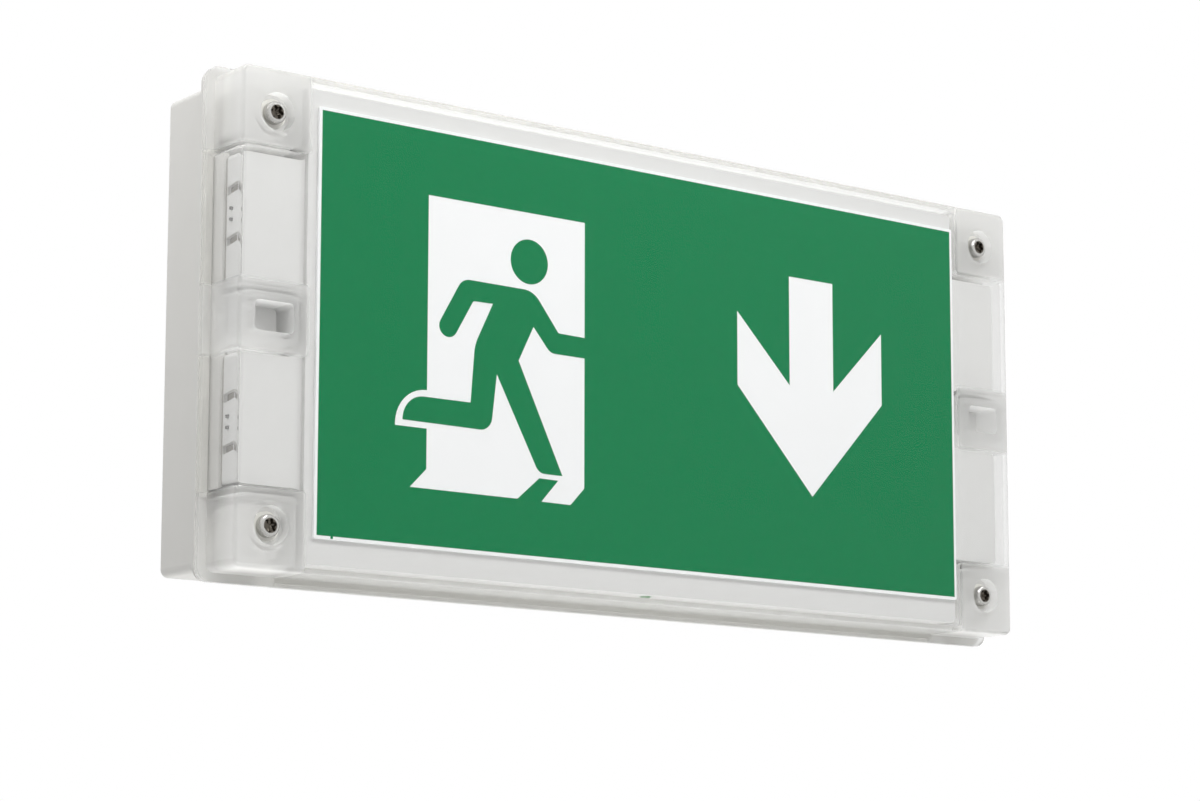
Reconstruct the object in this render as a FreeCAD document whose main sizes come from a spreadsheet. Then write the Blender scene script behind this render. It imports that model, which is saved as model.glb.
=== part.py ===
"""Self-contained emergency exit light: a moulded back housing on the wall, a clear screwed cover, and between
them a white sign carrier, its lamps, the driver board and the battery.

Millimetres. X runs along the sign, Z is up, and the wall is the plane Y = 0. A "depth" is a distance from the
wall towards the viewer, so a point at depth 20 lies at Y = -20. The origin is the middle of the wall face.
"""

import FreeCAD, Part
import math
import os
import re

import Sketcher

SIZES = (
    # the sign
    ("sign_w", 300, "width of the sign's coloured field"),
    ("sign_h", 150, "height of the sign's coloured field"),
    ("sign_border", 1.5, "pale border of the sign plate"),
    ("sign_thick", 1.2, "thickness of the sign plate"),
    ("sign_play", 0.2, "air between sign plate and cover"),
    ("sign_x", 1.7, "middle of the sign along X"),
    ("sign_z", 1.4, "middle of the sign along Z"),
    ("sign_lap", 2, "how far the carrier reaches in behind the field"),
    # the clear cover
    ("beside_sign", 5, "space between a screw tower and the coloured field"),
    ("over_sign", 12.65, "cover's edge above and below the coloured field"),
    ("cover_corner", 3, "radius of the cover's upright corners"),
    ("cover_wall", 2, "wall of the cover's skirt"),
    ("front_wall", 2, "thickness of the cover's front"),
    ("front_edge", 1.5, "round along the front's edge"),
    ("total_depth", 54.2, "wall to the front of the cover"),
    ("flange_out", 3.15, "how far the flange stands out of the skirt"),
    ("flange_thick", 2.5, "thickness of the cover's flange"),
    ("flange_back", 19.2, "cover's front to the front of its flange"),
    ("flange_corner", 5, "radius of the flange's corners"),
    # screw towers in the cover's corners
    ("tower_w", 27, "width of a corner tower from the cover's side"),
    ("tower_h", 28, "height of a corner tower from the cover's edge"),
    ("tower_wall", 2, "wall between a tower and the sealed room"),
    ("screw_in_x", 14.3, "screw axis from the cover's side"),
    ("screw_in_z", 15.25, "screw axis from the cover's top or bottom"),
    ("collar_dia", 17.6, "boss round the counterbore"),
    ("collar_gap", 0.2, "air between that boss and the housing's post"),
    ("sink_dia", 13.7, "counterbore for the screw's head"),
    ("sink_deep", 4.5, "depth of the counterbore"),
    ("screw_dia", 4, "shank of a cover screw"),
    ("screw_play", 0.6, "clearance of the shank in the cover"),
    ("screw_long", 16, "length of a cover screw under its head"),
    ("head_dia", 8, "head of a cover screw"),
    ("head_high", 3.2, "height of that head"),
    ("washer_dia", 10.5, "sealing washer under the head"),
    ("washer_thick", 0.8, "thickness of that washer"),
    ("drive_dia", 4, "socket in the head"),
    ("drive_deep", 1.8, "depth of that socket"),
    ("web", 1.6, "thickness of small ribs"),
    # grip blocks at the middle of both ends
    ("block_w", 27, "width of a grip block from the cover's side"),
    ("block_h", 21.4, "height of a grip block"),
    ("block_round", 5, "radius of its inner corners"),
    ("block_deep", 14.2, "length of a grip block from the cover's front"),
    ("grip_w", 15.5, "width of the finger recess"),
    ("grip_h", 10.7, "height of the finger recess"),
    ("grip_deep", 12, "depth of the finger recess"),
    ("grip_wall", 1.8, "wall round the finger recess"),
    # the back housing
    ("base_in_x", 1.35, "how far the housing's ends stay inside the cover's"),
    ("base_in_z", 1.55, "the same above and below"),
    ("base_wall", 2.3, "side wall of the housing"),
    ("base_floor", 3, "back wall of the housing"),
    ("base_edge", 1.2, "round along the back edge"),
    ("rim_thick", 1.5, "thickness of the housing's outward rim"),
    ("rim_short", 0.4, "how far the rim stays inside the cover's flange"),
    ("gasket_thick", 0.8, "pressed gasket between rim and flange"),
    ("gasket_in", 1.2, "gasket from the rim's outer edge"),
    ("post_deep", 9.2, "cover's front to the top of a corner post"),
    ("post_side", 3, "space between a corner post and its tower"),
    ("post_wall", 2, "wall of a corner post"),
    ("stem_dia", 10, "boss inside a corner post"),
    ("insert_dia", 5.6, "brass insert in that boss"),
    ("insert_long", 8, "length of the insert"),
    ("post_hole", 14, "depth of the hole in the boss"),
    ("lip_gap", 0.6, "upright lip from the inside of the cover"),
    ("lip_thick", 2, "thickness of that lip"),
    ("hang_in_x", 37, "wall screw from the cover's end"),
    ("hang_in_z", 42.65, "wall screw from the cover's top or bottom"),
    ("hang_dia", 5.2, "hole for a wall screw"),
    ("hang_boss", 13, "boss round that hole"),
    ("hang_high", 3, "height of that boss over the back wall"),
    ("entry_dia", 20.5, "cable entry hole"),
    ("entry_x", 95, "first rear cable entry, from the middle"),
    ("entry_step", 45, "distance between the rear entries"),
    ("entry_in_z", 42.65, "rear cable entries from the cover's bottom"),
    ("knock_x", 60, "knock-outs in the top, from the middle"),
    ("knock_deep", 1.3, "groove round a knock-out"),
    ("rib_high", 2.2, "ribs on the back wall"),
    # the lamp unit
    ("carrier_gap", 1.6, "carrier from the inside of the cover"),
    ("carrier_wall", 1.5, "wall of the sign carrier"),
    ("carrier_deep", 15.2, "cover's front to where carrier and tray meet"),
    ("panel_drop", 2, "end panels behind the carrier's face"),
    ("tray_play", 0.3, "lamp tray from the inside of the carrier"),
    ("tray_wall", 1.5, "wall of the lamp tray"),
    ("tray_deep", 5.5, "depth of the lamp tray"),
    ("tray_post_x", 118, "tray posts from the middle, along X"),
    ("tray_post_in", 8.5, "tray posts from the housing's inner wall"),
    ("tray_post_dia", 8, "post that carries the tray"),
    ("pin_gap", 3.9, "pitch of the lamp boards' pins"),
    ("slot_z", 36.5, "middle of a lamp board, above or below the middle"),
    ("slot_apart", 18, "distance between the slots beside a board"),
    ("slot_high", 4.2, "height of such a slot"),
    ("lamp_long", 11, "length of a lamp board"),
    ("lamp_thick", 1, "thickness of a lamp board"),
    ("status_in", 6, "status light behind the carrier's face"),
    ("status_dia", 5, "lens of the status light"),
    ("opal_thick", 1.5, "thickness of the diffuser"),
    ("opal_lap", 1.5, "how far the diffuser overlaps the window"),
    ("opal_play", 0.3, "play round the diffuser"),
    # the driver board
    ("board_x", -43, "middle of the driver board along X"),
    ("board_in_z", 18.8, "driver board below the housing's inner wall"),
    ("board_w", 152, "length of the driver board"),
    ("board_h", 66, "height of the driver board"),
    ("board_thick", 1.6, "thickness of the driver board"),
    ("board_depth", 9, "depth of its back"),
    ("board_hole_in", 5, "fixing holes from the board's edges"),
    ("board_post", 7, "post under a fixing hole"),
    ("small_dia", 3, "shank of a board or tray screw"),
    ("small_long", 8, "length of that screw"),
    ("small_head", 6, "head of that screw"),
    ("small_high", 2, "height of that head"),
    ("part_play", 0.2, "play between the parts of the driver"),
    ("pole_pitch", 5.08, "pitch of the terminal block's poles"),
    ("pole_deep", 14, "height of the terminal block over the board"),
    ("can_dia", 12.5, "smoothing capacitor"),
    ("can_high", 19, "height of a smoothing capacitor"),
    ("core_w", 26, "width of the transformer's core"),
    ("core_high", 19, "height of the transformer's core"),
    ("core_leg", 3.8, "leg of that core"),
    ("core_thick", 9, "thickness of that core"),
    ("fin_pitch", 4, "pitch of the heat sink's fins"),
    # the battery
    ("cell_dia", 22.5, "one battery cell"),
    ("cell_long", 43, "length of a cell"),
    ("pack_gap", 5, "space between the driver board and the cradle"),
    ("pack_in_z", 17.3, "battery above the housing's inner wall"),
    ("cradle_wall", 2, "side wall of the battery cradle"),
    ("cradle_floor", 1.5, "floor of the battery cradle"),
    ("cradle_high", 12, "height of the cradle's walls"),
    ("cradle_play", 0.3, "play round the battery"),
    ("strap_w", 14, "width of the strap over the battery"),
    ("strap_thick", 1.2, "thickness of the strap"),
)
NAMES = re.compile(r"\b(" + "|".join(name for name, number, note in SIZES) + r")\b")

document = FreeCAD.newDocument("exit_light")
sheet = document.addObject("Spreadsheet::Sheet", "Sizes")
for row, (name, number, note) in enumerate(SIZES, start=1):
    sheet.set(f"A{row}", note)
    sheet.set(f"B{row}", str(number))
    sheet.setAlias(f"B{row}", name)
document.recompute()

# Sizes and places that several pieces share, as expressions of the sheet's sizes.
COVER_W = "(sign_w + 2*beside_sign + 2*tower_w)"
COVER_H = "(sign_h + 2*over_sign)"
FLANGE_W = f"({COVER_W} + 2*flange_out)"
FLANGE_H = f"({COVER_H} + 2*flange_out)"
BASE_W = f"({COVER_W} - 2*base_in_x)"
BASE_H = f"({COVER_H} - 2*base_in_z)"
INNER_W = f"({BASE_W}/2 - base_wall)"
INNER_H = f"({BASE_H}/2 - base_wall)"
SCREW_X = f"({COVER_W}/2 - screw_in_x)"
SCREW_Z = f"({COVER_H}/2 - screw_in_z)"
HANG_X = f"({COVER_W}/2 - hang_in_x)"
HANG_Z = f"({COVER_H}/2 - hang_in_z)"
FLANGE_FRONT = "(total_depth - flange_back)"
FLANGE_BACK = "(total_depth - flange_back - flange_thick)"
RIM_FRONT = "(total_depth - flange_back - flange_thick - gasket_thick)"
POST_FRONT = "(total_depth - post_deep)"
BLOCK_BACK = "(total_depth - block_deep)"
CARRIER_BACK = "(total_depth - carrier_deep)"
TRAY_BACK = "(total_depth - carrier_deep - tray_deep)"
INNER_FRONT = "(total_depth - front_wall)"
SINK_FLOOR = "(total_depth - sink_deep)"
SIGN_FRONT = "(total_depth - front_wall - sign_play)"
CARRIER_FRONT = "(total_depth - front_wall - sign_play - sign_thick)"
PANEL_FRONT = "(total_depth - front_wall - sign_play - sign_thick - panel_drop)"
OPAL_FRONT = "(total_depth - front_wall - sign_play - sign_thick - carrier_wall)"
SKIRT_X = f"({COVER_W}/2 - cover_wall - carrier_gap)"
SKIRT_Z = f"({COVER_H}/2 - cover_wall - carrier_gap)"
LAMP_DEPTH = "(total_depth - carrier_deep + 4.2)"
TRAY_POST_Z = f"({INNER_H} - tray_post_in)"
ENTRY_Z = f"({COVER_H}/2 - entry_in_z)"
BOARD_Z = f"({INNER_H} - board_in_z - board_h/2)"
BOARD_FRONT = "(board_depth + board_thick)"
CRADLE_BACK = "(base_floor + rib_high)"
PACK_BACK = "(base_floor + rib_high + cradle_floor + part_play)"
PACK_X = "(board_x + board_w/2 + pack_gap + cradle_wall + cradle_play + 2*cell_dia)"
PACK_Z = f"(pack_in_z + cell_long/2 - {INNER_H})"
CORNERS = [(across, up) for across in (-1, 1) for up in (-1, 1)]


# --- drawing and solid helpers -------------------------------------------------------------------------


def number(text):
    """The value of an expression of the sheet's sizes."""
    return float(sheet.evalExpression(text))


def bound(text):
    """The same expression as other objects of the document have to write it."""
    return NAMES.sub(r"Sizes.\1", text)


def piece(label):
    """A new body, which becomes one node."""
    body = document.addObject("PartDesign::Body", "Body")
    body.Label = label
    body.AllowCompound = True
    return body


def sketch(body, plane, offset, shapes):
    """A sketch parallel to one of the body's own origin planes, with closed shapes drawn in it."""
    support = next(item for item in body.Origin.OriginFeatures if item.Role == plane)
    drawing = body.newObject("Sketcher::SketchObject", "Sketch")
    drawing.AttachmentSupport = [(support, "")]
    drawing.MapMode = "FlatFace"
    drawing.setExpression("AttachmentOffset.Base.z", bound(offset))
    for draw in shapes:
        draw(drawing)
    return drawing


def rule(drawing, kind, where, text):
    """A dimension of a sketch, bound to an expression."""
    constraint = Sketcher.Constraint(kind, *where, number(text))
    drawing.setExpression(f"Constraints[{drawing.addConstraint(constraint)}]", bound(text))


def hold(drawing, geometry, point, across, up):
    """Ties one point of a sketch to two expressions."""
    rule(drawing, "DistanceX", (-1, 1, geometry, point), across)
    rule(drawing, "DistanceY", (-1, 1, geometry, point), up)


def join(drawing, line, line_end, other, other_end):
    drawing.addConstraint(Sketcher.Constraint("Coincident", line, line_end, other, other_end))


def outline(corners, radius=None):
    """A closed outline through corners given as expressions, each turn rounded where a radius is given.

    A corner with a third entry has that radius instead.
    """

    def draw(drawing):
        spots = [FreeCAD.Vector(number(corner[0]), number(corner[1]), 0) for corner in corners]
        radii = [corner[2] if len(corner) > 2 else radius for corner in corners]
        reach = [number(size) if size else 0 for size in radii]
        count = len(spots)
        ways = [(spots[(index + 1) % count] - spots[index]).normalize() for index in range(count)]
        first = drawing.GeometryCount
        for index, spot in enumerate(spots):
            after = (index + 1) % count
            start = spot + ways[index] * reach[index]
            stop = spots[after] - ways[index] * reach[after]
            drawing.addGeometry(Part.LineSegment(start, stop), False)
        for index, corner in enumerate(corners):
            line, before = first + index, first + (index - 1) % count
            if radii[index]:
                arc = turn(drawing, spots[index], ways[index - 1], ways[index], corner, radii[index])
                join(drawing, before, 2, *arc[0])
                join(drawing, line, 1, *arc[1])
            else:
                join(drawing, before, 2, line, 1)
                hold(drawing, line, 1, *corner[:2])

    return draw


def turn(drawing, spot, into, onward, place, radius):
    """The arc at one corner of an outline; returns its two ends, in the order of travel."""
    reach = number(radius)
    left = into.cross(onward).z > 0
    begin = -onward if left else into
    angle = math.atan2(begin.y, begin.x)
    circle = Part.Circle(spot - into * reach + onward * reach, FreeCAD.Vector(0, 0, 1), reach)
    arc = drawing.addGeometry(Part.ArcOfCircle(circle, angle, angle + math.pi / 2), False)
    ends = ((arc, 1), (arc, 2)) if left else ((arc, 2), (arc, 1))
    for end, way, sign in ((ends[0], into, "-"), (ends[1], onward, "+")):
        across = f"{place[0]} {sign} ({round(way.x)})*({radius})"
        up = f"{place[1]} {sign} ({round(way.y)})*({radius})"
        hold(drawing, *end, across, up)
    rule(drawing, "Radius", (arc,), radius)
    return ends


def circle(across, up, diameter):
    """A full circle about a point."""

    def draw(drawing):
        middle = FreeCAD.Vector(number(across), number(up), 0)
        shape = Part.Circle(middle, FreeCAD.Vector(0, 0, 1), number(diameter) / 2)
        ring = drawing.addGeometry(shape, False)
        hold(drawing, ring, 3, across, up)
        rule(drawing, "Diameter", (ring,), diameter)

    return draw


def box(across, up, width, height):
    """The four corners of a rectangle about a point."""
    left, right = f"{across} - ({width})/2", f"{across} + ({width})/2"
    low, high = f"{up} - ({height})/2", f"{up} + ({height})/2"
    return [(left, low), (right, low), (right, high), (left, high)]


def pad(body, start, stop, shapes, plane="XZ_Plane"):
    """Adds material between two depths, or between two heights along another plane's normal."""
    feature = body.newObject("PartDesign::Pad", "Pad")
    feature.Profile = sketch(body, plane, start, shapes)
    feature.setExpression("Length", bound(f"({stop}) - ({start})"))


def cut(body, start, stop, shapes, plane="XZ_Plane"):
    """Takes material away between the same two depths; a pocket works back from the later one."""
    feature = body.newObject("PartDesign::Pocket", "Pocket")
    feature.Profile = sketch(body, plane, stop, shapes)
    feature.setExpression("Length", bound(f"({stop}) - ({start})"))


def turned(body, across, level, profile, plane="XY_Plane"):
    """A solid turned about the drawing's upright axis, moved across; the profile is (radius, height)."""
    drawing = sketch(body, plane, level, [outline(profile)])
    drawing.setExpression("AttachmentOffset.Base.x", bound(across))
    feature = body.newObject("PartDesign::Revolution", "Revolution")
    feature.Profile = drawing
    feature.ReferenceAxis = (drawing, ["V_Axis"])
    feature.Angle = 360


def from_wall(profile):
    """A (radius, depth) profile as heights of a drawing whose upright axis points at the wall."""
    return [(radius, f"-({depth})") for radius, depth in reversed(profile)]


def soften(body, radius, wanted):
    """Rounds the edges of the body as it stands for which wanted(edge) is true."""
    document.recompute()
    before = body.Tip
    edges = enumerate(before.Shape.Edges, start=1)
    names = [f"Edge{index}" for index, edge in edges if wanted(edge)]
    fillet = body.newObject("PartDesign::Fillet", "Fillet")
    fillet.Base = (before, names)
    fillet.setExpression("Radius", bound(radius))


def level(depth):
    """A test for edges that lie wholly at one depth."""

    def test(edge):
        limits = edge.BoundBox
        return max(abs(limits.YMin + depth), abs(limits.YMax + depth)) < 1e-4

    return test


# --- outlines and places that several pieces follow ------------------------------------------------------


def cross(half_w, half_h, notch_x, notch_z):
    """A rectangle without its corners, as the sealed room is: the cover screws stand in the corners."""
    quarter = [(half_w, notch_z), (notch_x, notch_z), (notch_x, half_h)]
    right = [(x, f"-({z})") for x, z in reversed(quarter)] + quarter
    left = [(f"-({x})", f"-({z})") for x, z in quarter]
    return right + [(f"-({x})", z) for x, z in reversed(quarter)] + left


def room(inset):
    """The sealed room inside the cover, drawn in from its walls by a distance."""
    return cross(
        f"({COVER_W}/2 - cover_wall - {inset})",
        f"({COVER_H}/2 - cover_wall - {inset})",
        f"({COVER_W}/2 - tower_w - {inset})",
        f"({COVER_H}/2 - tower_h - {inset})",
    )


def gripped_room(inset):
    """The same room where the grip blocks reach into both its ends."""
    corners = room(inset)
    side = f"({COVER_W}/2 - cover_wall - {inset})"
    inner = f"({COVER_W}/2 - block_w - {inset})"
    half = f"(block_h/2 + {inset})"
    bend = f"(block_round + {inset})"
    at_right = [(side, f"-{half}"), (inner, f"-{half}", bend), (inner, half, bend), (side, half)]
    at_left = [(f"-{side}", half), (f"-{inner}", half, bend), (f"-{inner}", f"-{half}", bend)]
    at_left.append((f"-{side}", f"-{half}"))
    return corners[:3] + at_right + corners[3:9] + at_left + corners[9:]


def corner_rooms(half_w, half_h, notch_x, notch_z):
    """The four rooms outside the notches: each with its middle, its width and its height."""
    width, height = f"({half_w} - {notch_x})", f"({half_h} - {notch_z})"
    middles = [(f"{x}*({notch_x} + {width}/2)", f"{z}*({notch_z} + {height}/2)") for x, z in CORNERS]
    return middles, width, height


def screw_axes():
    """The axes of the four cover screws."""
    return [(f"{across}*{SCREW_X}", f"{up}*{SCREW_Z}") for across, up in CORNERS]


def wall_holes():
    """The axes of the four wall screws."""
    return [(f"{across}*{HANG_X}", f"{up}*{HANG_Z}") for across, up in CORNERS]


def entries():
    """The middles of the cable entries in the back wall."""
    return [(f"-entry_x + {index}*entry_step", f"-{ENTRY_Z}") for index in (0, 1)]


def board_holes():
    """The fixing holes of the driver board."""
    reach_x, reach_z = "(board_w/2 - board_hole_in)", "(board_h/2 - board_hole_in)"
    return [(f"board_x + {across}*{reach_x}", f"{BOARD_Z} + {up}*{reach_z}") for across, up in CORNERS]


def tray_holes():
    """The screws that hold the lamp tray."""
    return [(f"{across}*tray_post_x", f"{up}*{TRAY_POST_Z}") for across, up in CORNERS]


def circles(places, diameter):
    """The same circle at several places."""
    return [circle(x, z, diameter) for x, z in places]


# --- cover, housing and what seals and joins them ---------------------------------------------------------


def make_clear_cover():
    """Clear cover: front, skirt, flange, four screw towers and two grip blocks, moulded in one."""
    cover = piece("clear_cover")
    pad(cover, FLANGE_BACK, "total_depth", [outline(box("0", "0", COVER_W, COVER_H), "cover_corner")])
    pad(cover, FLANGE_BACK, FLANGE_FRONT, [outline(box("0", "0", FLANGE_W, FLANGE_H), "flange_corner")])
    soften(cover, "front_edge", level(number("total_depth")))
    cut(cover, FLANGE_BACK, BLOCK_BACK, [outline(room("0"), "cover_wall")])
    cut(cover, BLOCK_BACK, INNER_FRONT, [outline(gripped_room("0"), "cover_wall")])
    add_screw_towers(cover)
    add_grip_blocks(cover)


def tower_hollows():
    """The insides of the four screw towers: their middles, their width and their height."""
    return corner_rooms(
        f"({COVER_W}/2 - cover_wall)",
        f"({COVER_H}/2 - cover_wall)",
        f"({COVER_W}/2 - tower_w + tower_wall)",
        f"({COVER_H}/2 - tower_h + tower_wall)",
    )


def add_screw_towers(cover):
    """Hollow corner towers: in each a boss under the front, bored for the screw and sunk for its head."""
    axes = screw_axes()
    middles, width, height = tower_hollows()
    hollows = [outline(box(x, z, width, height), "cover_wall") for x, z in middles]
    boss_back = f"({POST_FRONT} + collar_gap)"
    cut(cover, FLANGE_BACK, INNER_FRONT, hollows)
    pad(cover, boss_back, INNER_FRONT, circles(axes, "collar_dia"))
    cut(cover, SINK_FLOOR, "total_depth", circles(axes, "sink_dia"))
    cut(cover, boss_back, "total_depth", circles(axes, "screw_dia + screw_play"))


def add_grip_blocks(cover):
    """At both ends a hollow block with a finger recess that is open to the front."""
    width, height = "(block_w - 2*cover_wall)", "(block_h - 2*cover_wall)"
    hollows, shafts, mouths = [], [], []
    for across in (-1, 1):
        middle = f"{across}*({COVER_W}/2 - cover_wall - {width}/2)"
        recess = f"{across}*{SCREW_X}"
        shaft = box(recess, "0", "grip_w + 2*grip_wall", "grip_h + 2*grip_wall")
        hollows.append(outline(box(middle, "0", width, height), "block_round - cover_wall"))
        shafts.append(outline(shaft, "grip_wall"))
        mouths.append(outline(box(recess, "0", "grip_w", "grip_h"), "grip_wall"))
    cut(cover, BLOCK_BACK, INNER_FRONT, hollows)
    pad(cover, "total_depth - grip_deep - grip_wall", INNER_FRONT, shafts)
    cut(cover, "total_depth - grip_deep", "total_depth", mouths)


def make_back_housing():
    """Back housing: a tray with an outward rim, an upright lip, corner posts and bosses on its floor."""
    base = piece("back_housing")
    rim = box("0", "0", f"{FLANGE_W} - 2*rim_short", f"{FLANGE_H} - 2*rim_short")
    pad(base, "0", RIM_FRONT, [outline(box("0", "0", BASE_W, BASE_H), "cover_corner")])
    pad(base, f"{RIM_FRONT} - rim_thick", RIM_FRONT, [outline(rim, "flange_corner")])
    soften(base, "base_edge", level(0))
    notch_x = f"({COVER_W}/2 - tower_w - base_wall + tower_wall)"
    notch_z = f"({COVER_H}/2 - tower_h - base_wall + tower_wall)"
    inside = outline(cross(INNER_W, INNER_H, notch_x, notch_z), "cover_wall")
    cut(base, "base_floor", RIM_FRONT, [inside])
    add_corner_posts(base, f"({notch_x} + base_wall)", f"({notch_z} + base_wall)")
    add_lip(base)
    add_floor(base)
    add_tray_posts(base)
    add_knock_outs(base)


def add_corner_posts(base, from_x, from_z):
    """Posts that stand up into the screw towers; they and the corners below are cored from the wall side."""
    middles, width, height = tower_hollows()
    wide, tall = f"({width} - 2*post_side)", f"({height} - 2*post_side)"
    posts = [outline(box(x, z, wide, tall), "cover_wall") for x, z in middles]
    cores = [outline(box(x, z, f"{wide} - 2*post_wall", f"{tall} - 2*post_wall")) for x, z in middles]
    below, under_w, under_h = corner_rooms(INNER_W, INNER_H, from_x, from_z)
    hollows = [outline(box(x, z, under_w, under_h), "cover_wall") for x, z in below]
    stems = circles(screw_axes(), "stem_dia")
    pad(base, RIM_FRONT, POST_FRONT, posts)
    cut(base, "0", f"{RIM_FRONT} - post_wall", hollows + stems)
    cut(base, f"{RIM_FRONT} - post_wall", f"{POST_FRONT} - post_wall", cores + stems)
    cut(base, f"{POST_FRONT} - post_hole", POST_FRONT, circles(screw_axes(), "screw_dia + screw_play"))
    cut(base, f"{POST_FRONT} - insert_long", POST_FRONT, circles(screw_axes(), "insert_dia"))


def add_lip(base):
    """Between the corners, an upright lip just inside the cover's skirt, on which the sign carrier stands."""
    out_x = f"({COVER_W}/2 - cover_wall - lip_gap - lip_thick/2)"
    out_z = f"({COVER_H}/2 - cover_wall - lip_gap - lip_thick/2)"
    long_side = f"({COVER_W} - 2*tower_w - 2*lip_gap)"
    short_side = f"({COVER_H} - 2*tower_h - 2*lip_gap)"
    walls = [outline(box("0", f"{up}*{out_z}", long_side, "lip_thick")) for up in (-1, 1)]
    walls += [outline(box(f"{across}*{out_x}", "0", "lip_thick", short_side)) for across in (-1, 1)]
    pad(base, f"{RIM_FRONT} - 2*lip_thick", CARRIER_BACK, walls)


def add_floor(base):
    """On the back wall, stiffening ribs, bosses for wall screws and cable entries, and board posts."""
    top = "base_floor + rib_high"
    long_ribs = [outline(box("0", f"{up}*{HANG_Z}", f"2*{HANG_X}", "web")) for up in (-1, 1)]
    short_ribs = [outline(box(f"{across}*{HANG_X}", "0", "web", f"2*{HANG_Z}")) for across in (-1, 1)]
    pad(base, "base_floor", top, long_ribs)
    pad(base, "base_floor", top, short_ribs)
    pad(base, "base_floor", top, circles(entries(), "entry_dia + 2*base_wall"))
    pad(base, "base_floor", "base_floor + hang_high", circles(wall_holes(), "hang_boss"))
    pad(base, "base_floor", "board_depth", circles(board_holes(), "board_post"))
    cut(base, "0", top, circles(entries(), "entry_dia"))
    cut(base, "0", "base_floor + hang_high", circles(wall_holes(), "hang_dia"))
    cut(base, "base_floor", "board_depth", circles(board_holes(), "small_dia"))


def add_tray_posts(base):
    """Posts along the long walls that carry the lamp tray, each with a stay to its wall."""
    reach = f"({INNER_H} - tray_post_in/2)"
    places = [(f"{across}*tray_post_x", f"{up}*{reach}") for across, up in CORNERS]
    stays = [outline(box(x, z, "web", "tray_post_in")) for x, z in places]
    pad(base, "base_floor", f"{RIM_FRONT} - rim_thick", stays)
    pad(base, "base_floor", TRAY_BACK, circles(tray_holes(), "tray_post_dia"))
    cut(base, f"{TRAY_BACK} - small_long", TRAY_BACK, circles(tray_holes(), "small_dia"))


def add_knock_outs(base):
    """In the top, grooves round two discs that are broken out for conduit."""
    grooves = []
    for across in (-1, 1):
        place = (f"{across}*knock_x", f"-({RIM_FRONT} - rim_thick)/2")
        grooves += [circle(*place, "entry_dia"), circle(*place, "entry_dia - 2*knock_deep")]
    cut(base, f"{BASE_H}/2 - knock_deep", f"{BASE_H}/2", grooves, "XY_Plane")


def make_gasket():
    """Flat sealing ring that follows the sealed room past the screw towers."""
    gasket = piece("cover_gasket")
    outer = cross(
        f"({COVER_W}/2 + flange_out - rim_short - gasket_in)",
        f"({COVER_H}/2 + flange_out - rim_short - gasket_in)",
        f"({COVER_W}/2 - tower_w + tower_wall)",
        f"({COVER_H}/2 - tower_h + tower_wall)",
    )
    pad(gasket, RIM_FRONT, FLANGE_BACK, [outline(outer, "cover_wall"), outline(room("0"), "cover_wall")])


def make_grommets():
    """Closed rubber grommets in the rear cable entries, cut open by the installer."""
    grommets = piece("entry_grommets")
    top = "(base_floor + rib_high)"
    for x, z in entries():
        bore = "(entry_dia/2 - 0.1)"
        profile = [
            ("0", "base_floor"),
            (f"{bore} - 3", "base_floor"),
            (f"{bore} - 1.5", "0.4"),
            (bore, "0.4"),
            (bore, top),
            (f"{bore} + 1.8", top),
            (f"{bore} + 1.8", f"{top} + 1.6"),
            (f"{bore} - 3", f"{top} + 1.6"),
            (f"{bore} - 4", "base_floor + 0.8"),
            ("0", "base_floor + 0.8"),
        ]
        turned(grommets, x, z, from_wall(profile))


def make_cover_fasteners():
    """Cover screws, the sealing washers under their heads and the brass inserts they turn into."""
    screws, washers, inserts = piece("cover_screws"), piece("screw_washers"), piece("threaded_inserts")
    seat = f"({SINK_FLOOR} + washer_thick)"
    tip = f"({seat} - screw_long)"
    head = f"({seat} + head_high)"
    for x, z in screw_axes():
        profile = [
            ("0", tip),
            ("screw_dia/2", tip),
            ("screw_dia/2", seat),
            ("head_dia/2", seat),
            ("head_dia/2", f"{head} - 0.8"),
            ("head_dia/2 - 0.8", head),
            ("drive_dia/2", head),
            ("drive_dia/2", f"{head} - drive_deep"),
            ("0", f"{head} - drive_deep"),
        ]
        turned(screws, x, z, from_wall(profile))
    rings = circles(screw_axes(), "washer_dia") + circles(screw_axes(), "screw_dia + 0.2")
    pad(washers, SINK_FLOOR, seat, rings)
    tubes = circles(screw_axes(), "insert_dia") + circles(screw_axes(), "screw_dia + 0.1")
    pad(inserts, f"{POST_FRONT} - insert_long", POST_FRONT, tubes)


def make_small_screws(label, places, seat):
    """A set of small flat-headed screws whose heads bear on one depth."""
    screws = piece(label)
    for x, z in places:
        profile = [
            ("0", f"{seat} - small_long + 0.4"),
            ("small_dia/2 - 0.05", f"{seat} - small_long + 0.4"),
            ("small_dia/2 - 0.05", seat),
            ("small_head/2", seat),
            ("small_head/2", f"{seat} + small_high"),
            ("0", f"{seat} + small_high"),
        ]
        turned(screws, x, z, from_wall(profile))


# --- the sign and its light -------------------------------------------------------------------------------


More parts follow.
